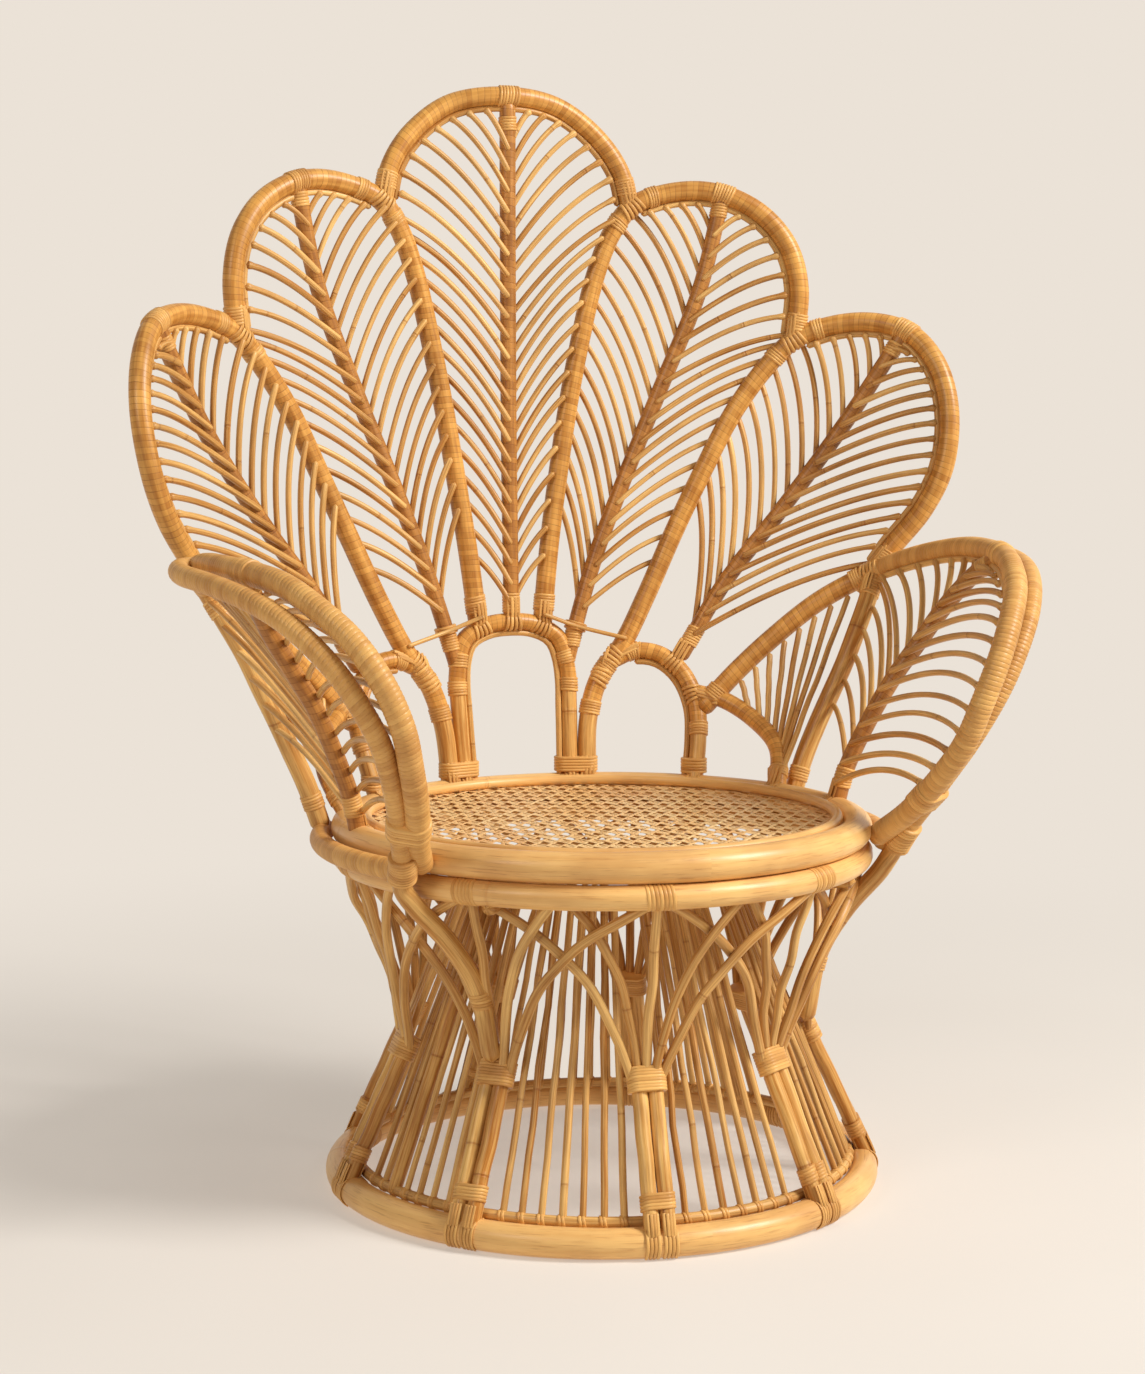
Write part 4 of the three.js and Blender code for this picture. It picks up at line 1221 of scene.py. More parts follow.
class Paths:
    """The centre lines that several sub-assemblies share."""

    def __init__(self, sizes: ChairSizes, poles: PoleSizes) -> None:
        """Draws every line of the back, the arms and the rings."""
        self.sizes = sizes
        self.poles = poles
        self.upper_height = sizes.seat_height - poles.upper_ring
        self.lower_height = self.upper_height - poles.upper_ring - RING_GAP - poles.lower_ring
        self.lower_radius = sizes.seat_radius + poles.upper_ring - poles.lower_ring
        self.upper_ring = circle(sizes, sizes.seat_radius, self.upper_height, poles.upper_ring)
        self.lower_ring = circle(sizes, self.lower_radius, self.lower_height, poles.lower_ring)
        self.crown = self._arched(CROWN_SHARES, CROWN_TOP_SHARES, poles.crown)
        self.centre_arch = self._arched(CENTRE_ARCH_SHARES, CENTRE_ARCH_TOP_SHARES, poles.arch)
        self.centre_spine = self._on_back(1, CENTRE_SPINE_SHARES[::-1], poles.spine)
        self.side: dict[str, dict[str, Line]] = {}
        for word, side in SIDES.items():
            back = sizes.on_back(side, ARM_RIM_BACK_SHARES)
            arm = sizes.on_arm(side, ARM_RIM_SHARES)
            post = sizes.on_arm(side, ARM_POST_SHARES)
            spine = sizes.on_arm(side, ARM_SPINE_SHARES[::-1])
            self.side[word] = {
                "inner_rim": self._on_back(side, INNER_RIM_SHARES, poles.rim),
                "outer_rim": self._on_back(side, OUTER_RIM_SHARES, poles.rim),
                "arm_rim": Line(smooth(np.vstack([back, arm])), poles.arm_rim),
                "arm_pole": Line(smooth(self._arm_pole(word, side)), poles.arm_pole),
                "arm_post": Line(smooth(post), poles.post),
                "inner_spine": self._on_back(side, INNER_SPINE_SHARES[::-1], poles.spine),
                "outer_spine": self._on_back(side, OUTER_SPINE_SHARES[::-1], poles.spine),
                "arm_spine": Line(smooth(spine), poles.spine),
                "side_arch": self._on_back(side, SIDE_ARCH_SHARES, poles.arch),
                "quarter_arch": self._on_back(side, QUARTER_ARCH_SHARES, poles.arch),
            }

    def _on_back(self, side: int, rows: Rows, radius: float) -> Line:
        """A smooth line through a table of the back."""
        return Line(smooth(self.sizes.on_back(side, rows)), radius)

    def _arched(self, half: Rows, top: Rows, radius: float) -> Line:
        """A smooth line up the left half of an arch, over its top and down the right half."""
        parts = ((-1, half), (1, top), (1, half[::-1]))
        return Line(smooth(np.vstack([self.sizes.on_back(side, rows) for side, rows in parts])), radius)

    def _arm_pole(self, word: str, side: int) -> Array:
        """The outer pole of an arm: over the arm, past the seat and in to its waist band."""
        upper = self.sizes.on_arm(side, ARM_POLE_SHARES)
        degrees, radius = ARM_LEG_ENDS[word]
        end = self.sizes.from_front(degrees, radius, self.sizes.waist_height + ARM_LEG_RISE)
        down, inward = np.asarray(ARM_LEG_SHARES).T[:, :, None]
        lower = upper[-1] + (end - upper[-1]) * inward
        lower[:, 2:] = upper[-1, 2] + (end[2] - upper[-1, 2]) * down
        return np.vstack([upper, lower])

    def crown_joint(self, word: str) -> float:
        """The share of an inner petal's rim at which the crown ends on it."""
        return self.side[word]["inner_rim"].near(self.crown.at(1.0 if SIDES[word] > 0 else 0.0))

    def joint(self, word: str, line: str, ending: str) -> float:
        """The share of one line at which another one of the same side ends on it."""
        return self.side[word][line].near(self.side[word][ending].at(1.0))


@dataclass
class SeatRings:
    """The rings that carry the chair: polished bent poles, a little uneven in their thickness.

    The thickness is r (1 + the sum of amount * sin(count * a + shift * number)) over the waves.
    """

    paths: Paths
    materials: Materials
    hoop_radius: float = 0.2746
    hoop_height: float = 0.4339
    waves: tuple[tuple[int, int, float], ...] = ((3, 1, 0.012), (7, 2, 0.008))
    floor_ring_most: float = 1.0
    lower_ring_least: float = 1.03
    sides: int = 32
    tone: float = 0.3

    def build(self) -> None:
        """Makes the floor ring, both seat rings and the inner hoop of the seat."""
        paths, sizes, poles = self.paths, self.paths.sizes, self.paths.poles
        rows = (
            ("floor_ring", sizes.floor_radius, poles.floor_ring, poles.floor_ring),
            ("upper_seat_ring", sizes.seat_radius, paths.upper_height, poles.upper_ring),
            ("lower_seat_ring", paths.lower_radius, paths.lower_height, poles.lower_ring),
            ("seat_hoop", self.hoop_radius, self.hoop_height, poles.hoop),
        )
        for number, (node, radius, height, thick) in enumerate(rows):
            bundle = Bundle(sizes, SEEDS["rings"] + number)
            ring = circle(sizes, radius, height, thick).samples[:-1]
            angle = np.linspace(0.0, TURN, len(ring), endpoint=False)
            uneven = np.ones(len(ring))
            for count, shift, amount in self.waves:
                uneven += amount * np.sin(count * angle + shift * number)
            if node == "floor_ring":
                uneven = np.minimum(uneven, self.floor_ring_most)
            elif node == "lower_seat_ring":
                uneven = np.maximum(uneven, self.lower_ring_least)
            bundle.tube(
                ring, thick * uneven, Finish.POLISHED, sides=self.sides, closed=True, tone=self.tone
            )
            bundle.make(node, self.materials)


@dataclass(frozen=True)
class Strips:
    """One family of parallel strips of the web.

    Its way is given in columns and rows of cells, its offset as a share of the spacing between strips,
    and the places, the width and the lift in metres.
    """

    along: Span
    offset: float
    places: tuple[float, ...]
    width: float
    lift: float


@dataclass
class CaneSeat:
    """The woven cane web of the seat: pairs one way, single wide strips the other, and single strips along
    both diagonals.

    The pairs cross at the corners of the cells and the diagonals at the middles of their sides, so
    that an oval hole stays open in the middle of each cell.
    """

    paths: Paths
    materials: Materials
    radius: float = 0.2795
    height: float = 0.4268
    column: float = 0.0172
    row: float = 0.0310
    shift: float = 0.0056
    turn_degrees: float = -21.65
    thick: float = 0.0005
    wave: float = 0.0002
    stray: float = 0.00025
    spacing: float = 0.0045
    least_half: float = 0.012
    families: tuple[Strips, ...] = (
        Strips((0.0, 1.0), 0.0, (-0.0019, 0.0019), 0.0040, 0.0),
        Strips((1.0, 0.0), 0.0, (0.0,), 0.0070, 0.0002),
        Strips((1.0, 1.0), 0.5, (0.0,), 0.0052, 0.0004),
        Strips((-1.0, 1.0), 0.5, (0.0,), 0.0047, 0.0006),
    )

    def _chord(self, origin: Array, direction: Array) -> Span | None:
        """Where the line origin + t direction enters and leaves the web's circle, if it does."""
        along = float(origin @ direction)
        inside = along**2 - float(origin @ origin) + self.radius**2
        root = math.sqrt(max(inside, 0.0))
        return (-along - root, -along + root) if root > self.least_half else None

    def _lay(self, bundle: Bundle, strips: Strips, columns: Array, rows: Array) -> None:
        """Lays one family of strips; each rises and falls as it crosses the others.

        Args:
            bundle: the bundle that takes them.
            strips: the family.
            columns: way from one column of cells to the next.
            rows: way from one row of cells to the next.
        """
        direction = unit(strips.along[0] * columns + strips.along[1] * rows)
        square = np.array([-direction[1], direction[0]])
        step = rows if strips.along[1] == 0.0 else columns
        spacing = abs(float(step @ square))
        count = int(self.radius / spacing) + 1
        for number in range(-count, count + 1):
            for place in strips.places:
                stray = bundle.chance.normal(0.0, self.stray)
                aside = (number + strips.offset) * spacing + place + stray
                ends = self._chord(square * aside, direction)
                if ends is None:
                    continue
                run = np.arange(*ends, self.spacing)
                wave = np.sin(run / self.column * math.pi + number * math.pi)
                flat = square * aside + run[:, None] * direction
                height = self.height + strips.lift + self.wave * wave
                bundle.tube(
                    np.column_stack([flat[:, 0], flat[:, 1] + self.paths.sizes.axis_y, height]),
                    0.5 * strips.width,
                    Finish.WEB,
                    sides=6,
                    guide=Guide.VERTICAL,
                    flat=self.thick / strips.width,
                    cap=Cap.FLAT,
                )

    def build(self) -> None:
        """Weaves the web."""
        bundle = Bundle(self.paths.sizes, SEEDS["web"])
        angle = math.radians(self.turn_degrees)
        across = np.array([math.cos(angle), math.sin(angle)])
        away = np.array([-math.sin(angle), math.cos(angle)])
        for strips in self.families:
            self._lay(bundle, strips, across * self.column, away * self.row - across * self.shift)
        bundle.make("cane_web", self.materials)


@dataclass(frozen=True)
class FanSizes:
    """The five canes of a fan: how they turn, rise and lie in layers between the waist and the seat."""

    spread_shares: tuple[float, ...] = (-0.94, -0.45, 0.0, 0.45, 0.94)
    spacing: float = 0.008
    layer: float = 0.0059
    layer_rise: float = 0.3
    even_share: float = 0.52
    turn_power: float = 3.8
    lean_power: float = 1.5
    inset: float = 0.001
    tuck: float = 0.010
    tuck_power: int = 5
    samples: int = 33
    stations: int = 25
    thickness: Span = (0.94, 1.06)
    band_height: float = 0.028
    band_section: Span = (0.0121, 0.0092)
    band_strands: int = 8
    band: Winding = Winding(pitch=0.0035, rise=0.0010, lean=0.0008)
    lashing: Winding = Winding(pitch=0.0044, sides=28)
    lashing_strands: tuple[int, ...] = (6, 7, 8)


@dataclass(frozen=True)
class FootStraps:
    """The strands that run from under the low band of a leg down over the floor ring."""

    places: tuple[float, ...] = (-1.5, -0.5, 0.5, 1.5)
    width: float = 0.0040
    near_spacing: float = 0.0034
    far_spacing: float = 0.0043
    far_share: float = 1.12
    first_degrees: float = 64.0
    last_degrees: float = -60.0
    stations: int = 7
    lift: float = 0.0008
    leg_lift: float = 0.001
    rise: float = 0.006
    reach: float = 0.0095
    lean: float = 0.0045


@dataclass
class LegBase:
    """The waisted base: nine pairs of legs, their fans and their lashings."""

    paths: Paths
    materials: Materials
    fan: FanSizes = FanSizes()
    straps: FootStraps = FootStraps()
    outset: float = 0.002
    foot_height: float = 0.0344
    start_height: float = 0.030
    gap: float = 0.0009
    stations: int = 12
    wander: float = 0.0003
    low_share: float = 0.19
    low_strands: int = 5
    low_band: Winding = Winding(rise=0.0012)
    single_bands_every: int = 3

    def _leg_line(self, degrees: float, low: float, high: float) -> Line:
        """The middle line of a pair of legs between two heights."""
        sizes = self.paths.sizes
        foot = sizes.floor_radius + self.outset
        slope = (sizes.waist_radius - foot) / (sizes.waist_height - self.foot_height)
        heights = np.linspace(low, high, self.stations)
        reach = foot + (heights - self.foot_height) * slope
        return Line(sizes.from_front(degrees, reach, heights), self.paths.poles.leg)

    def _fan_cane(self, bundle: Bundle, degrees: float, index: int) -> None:
        """One cane of a fan, from its waist band up to the lower seat ring.

        With t from 0 to 1 it turns by start (1 - t) + spread bay (e t + (1 - e) t ^ power).

        Args:
            bundle: the bundle that takes it.
            degrees: where its fan stands, from the front.
            index: which cane of the fan it is.
        """
        sizes, poles, fan = self.paths.sizes, self.paths.poles, self.fan
        rise = np.linspace(0.0, 1.0, fan.samples)
        bay = 360.0 / sizes.leg_count
        spread = fan.spread_shares[index]
        start = math.degrees((index - len(fan.spread_shares) // 2) * fan.spacing / sizes.waist_radius)
        turn_shares = fan.even_share * rise + (1.0 - fan.even_share) * rise**fan.turn_power
        turned = start * (1 - rise) + spread * bay * turn_shares
        lean = sizes.seat_radius - fan.inset - sizes.waist_radius
        reach = sizes.waist_radius + lean * rise**fan.lean_power
        layered = np.sign(spread) * fan.layer * np.minimum(1.0, rise / fan.layer_rise)
        top = self.paths.lower_height - poles.lower_ring - (0.0 if spread == 0 else poles.fan)
        tuck = fan.tuck * rise**fan.tuck_power
        heights = sizes.waist_height + (top - sizes.waist_height) * rise + tuck
        line = Line(sizes.from_front(degrees + turned, reach + layered, heights))
        path = bundle.wandering(line.at(np.linspace(0.0, 1.0, fan.stations)), CANE_WANDER)
        bundle.tube(path, poles.fan * bundle.chance.uniform(*fan.thickness), Finish.CANE)

    def _fan(self, degrees: float, number: int) -> None:
        """One waist band, its five fan canes and the lashing on the lower ring above it."""
        sizes, fan = self.paths.sizes, self.fan
        bundle = Bundle(sizes, SEEDS["fans"] + number)
        for index in range(len(fan.spread_shares)):
            self._fan_cane(bundle, degrees, index)
        half = 0.5 * fan.band_height
        band = self._leg_line(degrees, sizes.waist_height - half, sizes.waist_height + half)
        radius, span = fan.band_section
        bundle.bind(band, 0.5, fan.band_strands, radius=radius, span=span, winding=fan.band)
        share = (degrees % 360.0) / 360.0
        strands = fan.lashing_strands[number % len(fan.lashing_strands)]
        bundle.bind(self.paths.lower_ring, share, strands, winding=fan.lashing)
        bundle.make(f"leg_fan_{number}", self.materials)

    def _pair(self, degrees: float, number: int) -> None:
        """Two bare legs side by side, their low band and the strands that tie them to the floor ring."""
        sizes, poles = self.paths.sizes, self.paths.poles
        bundle = Bundle(sizes, SEEDS["legs"] + number)
        line = self._leg_line(degrees, self.start_height, sizes.waist_height)
        aside = sizes.from_front(degrees + 90.0, 1.0, 0.0) - np.array([0.0, sizes.axis_y, 0.0])
        offset = poles.leg - self.gap
        middle = sizes.from_front(degrees, sizes.floor_radius, poles.floor_ring)
        out = sizes.outward(middle)
        legs = [Line(line.samples + aside * offset * place, poles.leg) for place in (-1, 1)]
        for leg, place in zip(legs, (-1, 1)):
            path = bundle.wandering(leg.points(BARE_SPACING), self.wander)
            bundle.tube(path, offset, Finish.POLE, sides=18)
            for strand in self.straps.places:
                for inside in (1, -1):
                    self._foot_strap(bundle, middle, out * inside, aside, offset * place, strand)
        bands = [(line, offset)]
        if number % self.single_bands_every == 2:
            bands = [(leg, 0.0) for leg in legs]
        for pole, span in bands:
            bundle.bind(pole, self.low_share, self.low_strands, span=span, winding=self.low_band)
        bundle.make(f"leg_pair_{number}", self.materials)

    def _foot_strap(
        self, bundle: Bundle, middle: Array, facing: Array, aside: Array, place: float, strand: float
    ) -> None:
        """Lays one strand from under the low band down over the floor ring.

        Args:
            bundle: the bundle that takes it.
            middle: centre of the floor ring under the pair of legs.
            facing: level direction in which the strand's side of the ring faces.
            aside: direction along the ring.
            place: how far aside the leg stands.
            strand: which strand of the leg it is, from its middle.
        """
        poles, straps = self.paths.poles, self.straps
        near = place + strand * straps.near_spacing
        far = place * straps.far_share + strand * straps.far_spacing
        turns = np.radians(np.linspace(straps.first_degrees, straps.last_degrees, straps.stations))
        faces = np.cos(turns)[:, None] * facing + np.sin(turns)[:, None] * UP
        skin = middle + aside * far + faces * (poles.floor_ring + straps.lift)
        depth = poles.leg * math.sqrt(1.0 - (strand * straps.near_spacing / poles.leg) ** 2)
        before = facing * (depth + straps.leg_lift)
        top = middle + aside * near + before + UP * (poles.floor_ring + straps.rise)
        high = top - self.paths.sizes.outward(middle) * straps.lean + UP * straps.reach
        ways = np.vstack([facing] * 2 + [faces])
        bundle.strap(np.vstack([high, top, skin]), ways, Straps(width=straps.width))

    def build(self) -> None:
        """Makes the legs and fans all round."""
        for number, degrees in enumerate(self.paths.sizes.leg_degrees(), 1):
            self._fan(float(degrees), number)
            self._pair(float(degrees), number)


@dataclass
class SpindleCage:
    """The spindles inside the base, the thin hoops they run between and the crossed bars of the seat."""

    paths: Paths
    materials: Materials
    hoop_radius: float = 0.291
    hoop_height: float = 0.0346
    top_radius: float = 0.155
    top_height: float = 0.370
    spindles: int = 7
    margin_degrees: float = 6.8
    stray_degrees: Span = (0.12, 0.45)
    thickness: Span = (0.88, 1.12)
    rise: float = 0.002
    stations: int = 12
    posts: tuple[tuple[int, int], ...] = ((3, 1), (7, 2))
    post_radius: float = 0.0082
    tie: Winding = Winding(pitch=0.0040, rise=0.0013, sides=12)
    tie_strands: int = 2
    bar_degrees: Span = (45.0, 135.0)
    bar_spacing: float = 0.02
    bar_collars: Span = (0.24, 0.76)

    def _degrees(self) -> Array:
        """Where the spindles stand, in degrees from the front."""
        bay = 360.0 / self.paths.sizes.leg_count
        step = (bay - 2 * self.margin_degrees) / (self.spindles - 1)
        inside = self.margin_degrees + np.arange(self.spindles) * step
        return (self.paths.sizes.leg_degrees()[:, None] + inside).ravel()

    def _bars(self) -> None:
        """The hoop under the seat and the two crossed bars that carry it."""
        sizes, poles = self.paths.sizes, self.paths.poles
        bundle = Bundle(sizes, SEEDS["bars"])
        hoop = circle(sizes, self.top_radius, self.top_height, poles.hoop)
        bundle.tube(hoop.samples[:-1:4], poles.hoop, Finish.CANE, closed=True, tone=0.5)
        for degrees in self.bar_degrees:
            ends = np.array([degrees, degrees + 180.0])
            height = self.top_height + poles.hoop
            bar = Line(sizes.around(ends, self.paths.lower_radius, height), poles.bar)
            path = bar.points(self.bar_spacing)
            bundle.tube(path, poles.bar, Finish.POLE, sides=14, guide=Guide.VERTICAL)
            for share in self.bar_collars:
                bundle.bind(bar, share, 6, guide=Guide.VERTICAL)
        bundle.make("crossed_bars", self.materials)

    def _cage(self) -> None:
        """The thin hoop on the floor ring and the uprights tied to it, which lean in to the upper hoop."""
        sizes, poles = self.paths.sizes, self.paths.poles
        bundle = Bundle(sizes, SEEDS["cage"])
        line = circle(sizes, self.hoop_radius, self.hoop_height, poles.hoop)
        bundle.tube(line.samples[:-1:3], poles.hoop, Finish.CANE, sides=14, closed=True, tone=0.4)
        for number, degrees in enumerate(self._degrees()):
            is_post = divmod(number, self.spindles) in self.posts
            foot_turn, head_turn = bundle.chance.normal(0.0, self.stray_degrees) * (0.0 if is_post else 1.0)
            foot = sizes.from_front(degrees + foot_turn, self.hoop_radius, self.hoop_height + self.rise)
            head = sizes.from_front(degrees + head_turn, self.top_radius, self.top_height)
            straight = Line(np.stack([foot, head])).at(np.linspace(0, 1, self.stations))
            path = bundle.wandering(straight, CANE_WANDER)
            if is_post:
                bundle.tube(path, self.post_radius, Finish.POLE)
            else:
                thick = poles.spindle * bundle.chance.uniform(*self.thickness)
                bundle.tube(path, thick, Finish.CANE, sides=8)
            bundle.bind(line, (degrees % 360.0) / 360.0, self.tie_strands, winding=self.tie)
        bundle.make("spindle_cage", self.materials)

    def build(self) -> None:
        """Makes the bars and the cage."""
        self._bars()
        self._cage()


@dataclass(frozen=True)
class Stretch:
    """A stretch of a rim that is part of the edge of a leaf, from one share to another."""

    line: Line
    start: float
    stop: float
    lined: bool = False


@dataclass(frozen=True)
class RibRow:
    """One row of ribs, from a stretch of a spine out to an edge made of stretches of rims."""

    stretches: tuple[Stretch, ...]
    start: float
    stop: float
    root: Root
    rim: Rim
    edge_shares: Span | None = None


@dataclass
class Leaves:
    """The spines of the petals and arms with their rows of ribs."""

    paths: Paths
    materials: Materials
    counts: tuple[tuple[str, int], ...] = (("centre", 24), ("inner", 20), ("outer", 16), ("arm", 14))
    low_degrees: float = 38.0
    high_degrees: float = 46.0
    closing: float = 0.25
    edge_samples: int = 48
    angle_samples: int = 600
    trimmed: int = 2
    edge_limits: Span = (0.005, 0.995)
    bow_share: float = 0.08
    bow_spread: float = 0.006
    stations: int = 16
    thickness: Span = (0.9, 1.06)
    lined_end: Span = (0.7, 1.1)
    knob: float = 0.32
    knob_length: float = 0.003
    lining_gap: float = 0.0003
    tie_radius: float = 0.0028
    tip_collar: Winding = Winding(rise=0.0018)
    centre_ribs: Span = (0.03, 0.95)
    below_crown: float = 0.035
    crown_starts: tuple[tuple[str, float], ...] = (("right", 0.945), ("left", 0.055))
    past_joint: float = 0.025
    rim_end: float = 0.975
    rib_end: float = 0.95
    post_stretch: Span = (0.975, 0.025)

    def _edge(self, row: RibRow, middle: Array) -> tuple[Line, Array, Array]:
        """The edge of a row, with the reach of its rim and whether it is lined, at each sample.

        Args:
            row: the row of ribs.
            middle: the middle of the petal.

        Returns:
            The edge, the radius of the rim behind each sample and 1 where there is a lining.
        """
        points, thick, lined = [], [], []
        for rim in row.stretches:
            lining = 2 * self.paths.poles.lining + self.lining_gap if rim.lined else 0.0
            distance = rim.line.radius + lining
            points.append(inset(rim.line, rim.start, rim.stop, distance, middle, self.edge_samples))
            thick.append(np.full(self.edge_samples, rim.line.radius))
            lined.append(np.full(self.edge_samples, float(rim.lined)))
        return Line(np.vstack(points)), np.concatenate(thick), np.concatenate(lined)

    def _edge_shares(self, row: RibRow, edge: Line, starts: Array, ups: Array) -> Array:
        """Where the ribs come out on the edge.

        By angle: the share s at which the angle between edge(s) - start and the spine is nearest to
        the wanted one, which grows from 38 degrees at the lowest rib to 46 at the highest. A
        straight line through these shares spaces the ribs evenly past the joints of the rims.

        Args:
            row: the row of ribs.
            edge: its edge.
            starts: where the ribs leave the spine.
            ups: direction of the spine there.

        Returns:
            One share of the edge per rib.
        """
        turns = np.linspace(0.0, 1.0, len(starts))
        if row.edge_shares is not None:
            first, last = row.edge_shares
            return first + (last - first) * turns
        shares = np.linspace(0.0, 1.0, self.angle_samples)
        ways = unit(edge.at(shares)[None] - starts[:, None])
        angles = np.degrees(np.arccos(np.clip(np.sum(ways * ups[:, None], axis=2), -1.0, 1.0)))
        wanted = self.low_degrees + (self.high_degrees - self.low_degrees) * turns[:, None]
        nearest = shares[np.argmin(np.abs(angles - wanted), axis=1)]
        inner = slice(self.trimmed, -self.trimmed)
        slope, first = np.polyfit(turns[inner], nearest[inner], 1)
        low, high = max(first, self.edge_limits[0]), min(first + slope, self.edge_limits[1])
        return low + (high - low) * turns * (1.0 + self.closing * (1.0 - turns))

    def ribs(self, bundle: Bundle, spine: Line, count: int, row: RibRow) -> None:
        """Makes one row of ribs, each bowed, starting in or before its spine and ending at its rim.

        Args:
            bundle: the bundle that takes them.
            spine: the spine that they leave.
            count: number of ribs.
            row: where they run.
        """
        poles = self.paths.poles
        shares = np.linspace(row.start, row.stop, count)
        starts, ups = spine.at(shares), spine.tangent(shares)
        edge, thick, lined = self._edge(row, spine.at(0.5))
        places = self._edge_shares(row, edge, starts, ups)
        ends = edge.at(places)
        thick = np.interp(places * edge.length, edge.run, thick)
        lined = np.interp(places * edge.length, edge.run, lined) > 0.5
        front = -bundle.sizes.outward(starts)
        front = unit(front - np.sum(front * ups, axis=1, keepdims=True) * ups)
        before_end = -bundle.sizes.outward(ends)
        root_depth, root_aside = (poles.spine * radii for radii in row.root.value)
        for i in range(count):
            way = ends[i] - starts[i]
            reach = float(np.linalg.norm(way))
            if reach <= 2 * poles.rib + poles.spine:
                continue
            met, radii = (poles.lining, self.lined_end) if lined[i] else (thick[i], row.rim.value)
            end_depth, past = met * radii[0], met * radii[1]
            share = np.linspace(root_aside / reach, 1.0 + past / reach, self.stations)[:, None]
            bow_share = self.bow_share + bundle.chance.normal(0.0, self.bow_spread)
            bow = 4.0 * bow_share * share * (1.0 - share)
            depth = front[i] * root_depth * (1.0 - share) + before_end[i] * end_depth * share
            path = starts[i] + way * share + ups[i] * reach * bow + depth
            run = share[:, 0] * reach
            knob = 1.0 + self.knob * np.exp(-(((run[-1] - run) / self.knob_length) ** 2)) * lined[i]
            thin = poles.rib * bundle.chance.uniform(*self.thickness)
            bundle.tube(path, thin * knob, Finish.CANE, sides=8)

    def _before(self, line: Line, share: float) -> Array:
        """A point on the front of a pole, where a thin tie cane crosses it."""
        point = line.at(share)
        return point - self.paths.sizes.outward(point) * (line.radius + self.tie_radius)

    def leaf(
        self, name: str, rows: list[RibRow], tip: Line, foot: Line, seed: int, tie: Array | None = None
    ) -> None:
        """Makes one spine with its two rows of ribs and its lashings.

        Args:
            name: which leaf it is, and for those of a side the word for the side.
            rows: the two rows.
            tip: the pole that the tip of the spine meets.
            foot: the pole that its foot meets.
            seed: seed of its small differences.
            tie: the points that a thin tie cane across its foot passes, if it has one.
        """
        leaf, *side = name.split()
        spine = self.paths.side[side[0]][f"{leaf}_spine"] if side else self.paths.centre_spine
        bundle = Bundle(self.paths.sizes, seed)
        bundle.tube(spine.points(WRAPPED_SPACING), spine.radius, Finish.SPINE, sides=20)
        for row in rows:
            self.ribs(bundle, spine, dict(self.counts)[leaf], row)
        if tie is not None:
            bundle.tube(smooth(tie, dense=10), self.tie_radius, Finish.CANE, sides=8)
            bundle.bind(spine, spine.near(tie[1]), 3, radius=spine.radius + self.tie_radius)
        bundle.joint(spine, True, tip, strands=5, straps=0, gap=0.0)
        bundle.bind(tip, tip.near(spine.at(1.0)), 7, winding=self.tip_collar)
        bundle.joint(spine, False, foot, strands=7, straps=4, gap=0.003)
        bundle.make("_".join([leaf, "spine", *side]), self.materials)

    def _centre_row(self, word: str) -> RibRow:
        """The ribs of one half of the centre leaf: to the inner petal's rim, then to the crown."""
        paths = self.paths
        rim_stop = paths.crown_joint(word) - self.below_crown
        stretches = (
            Stretch(paths.side[word]["inner_rim"], 0.0, rim_stop),
            Stretch(paths.crown, dict(self.crown_starts)[word], 0.5, lined=True),
        )
        is_right = SIDES[word] > 0
        root, rim = (Root.TUCKED, Rim.LAPPED) if is_right else (Root.LAPPED, Rim.TUCKED)
        return RibRow(stretches, *self.centre_ribs, root, rim)

    def _petal_rows(
        self, word: str, leaf: str, start: float, first: float, joint: float, beside: Stretch
    ) -> list[RibRow]:
        """The two rows of a petal.

        The first runs to the petal's own rim, below and past the joint on it. The second runs to the
        next rim, and above their joint to the last part of its own.

        Args:
            word: the side.
            leaf: inner or outer.
            start: share of the spine at which the ribs start.
            first: share of its own rim at which the first row's edge starts.
            joint: share of its own rim at which the petal before it ends on it.
            beside: the stretch of the next rim.

        Returns:
            The rows.
        """
        rim = self.paths.side[word][f"{leaf}_rim"]
        tip = self.paths.joint(word, f"{leaf}_rim", f"{leaf}_spine")
        inward = (Stretch(rim, first, joint), Stretch(rim, joint + self.past_joint, tip, lined=True))
        outward = (beside, Stretch(rim, self.rim_end, tip, lined=True))
        at_rim = Rim.TUCKED if SIDES[word] > 0 else Rim.LAPPED
        return [
            RibRow(inward, start, self.rib_end, Root.TUCKED, at_rim),
            RibRow(outward, start, self.rib_end, Root.LAPPED, Rim.TUCKED),
        ]

    def _arm_rows(self, word: str, joint: float) -> list[RibRow]:
        """The two rows of an arm leaf: to the post and the rim behind, and to the rim in front."""
        lines = self.paths.side[word]
        tip = self.paths.joint(word, "arm_rim", "arm_spine")
        behind = (
            Stretch(lines["arm_post"], *self.post_stretch),
            Stretch(lines["arm_rim"], joint + self.past_joint, tip, lined=True),
        )
        front = (Stretch(lines["arm_rim"], ARM_LINING_END, tip, lined=True),)
        return [
            RibRow(behind, 0.08, 0.86, Root.TUCKED, Rim.TUCKED, (0.2, 0.97)),
            RibRow(front, 0.06, 0.92, Root.LAPPED, Rim.TUCKED, (0.02, 0.96)),
        ]

    def build(self) -> None:
        """Makes the five leaves of the back and the two of the arms."""
        rows = [self._centre_row(word) for word in SIDES]
        self.leaf("centre", rows, self.paths.crown, self.paths.centre_arch, SEEDS["centre_leaf"])
        for number, word in enumerate(SIDES):
            self._side_leaves(word, SEEDS["leaves"] + 10 * number)

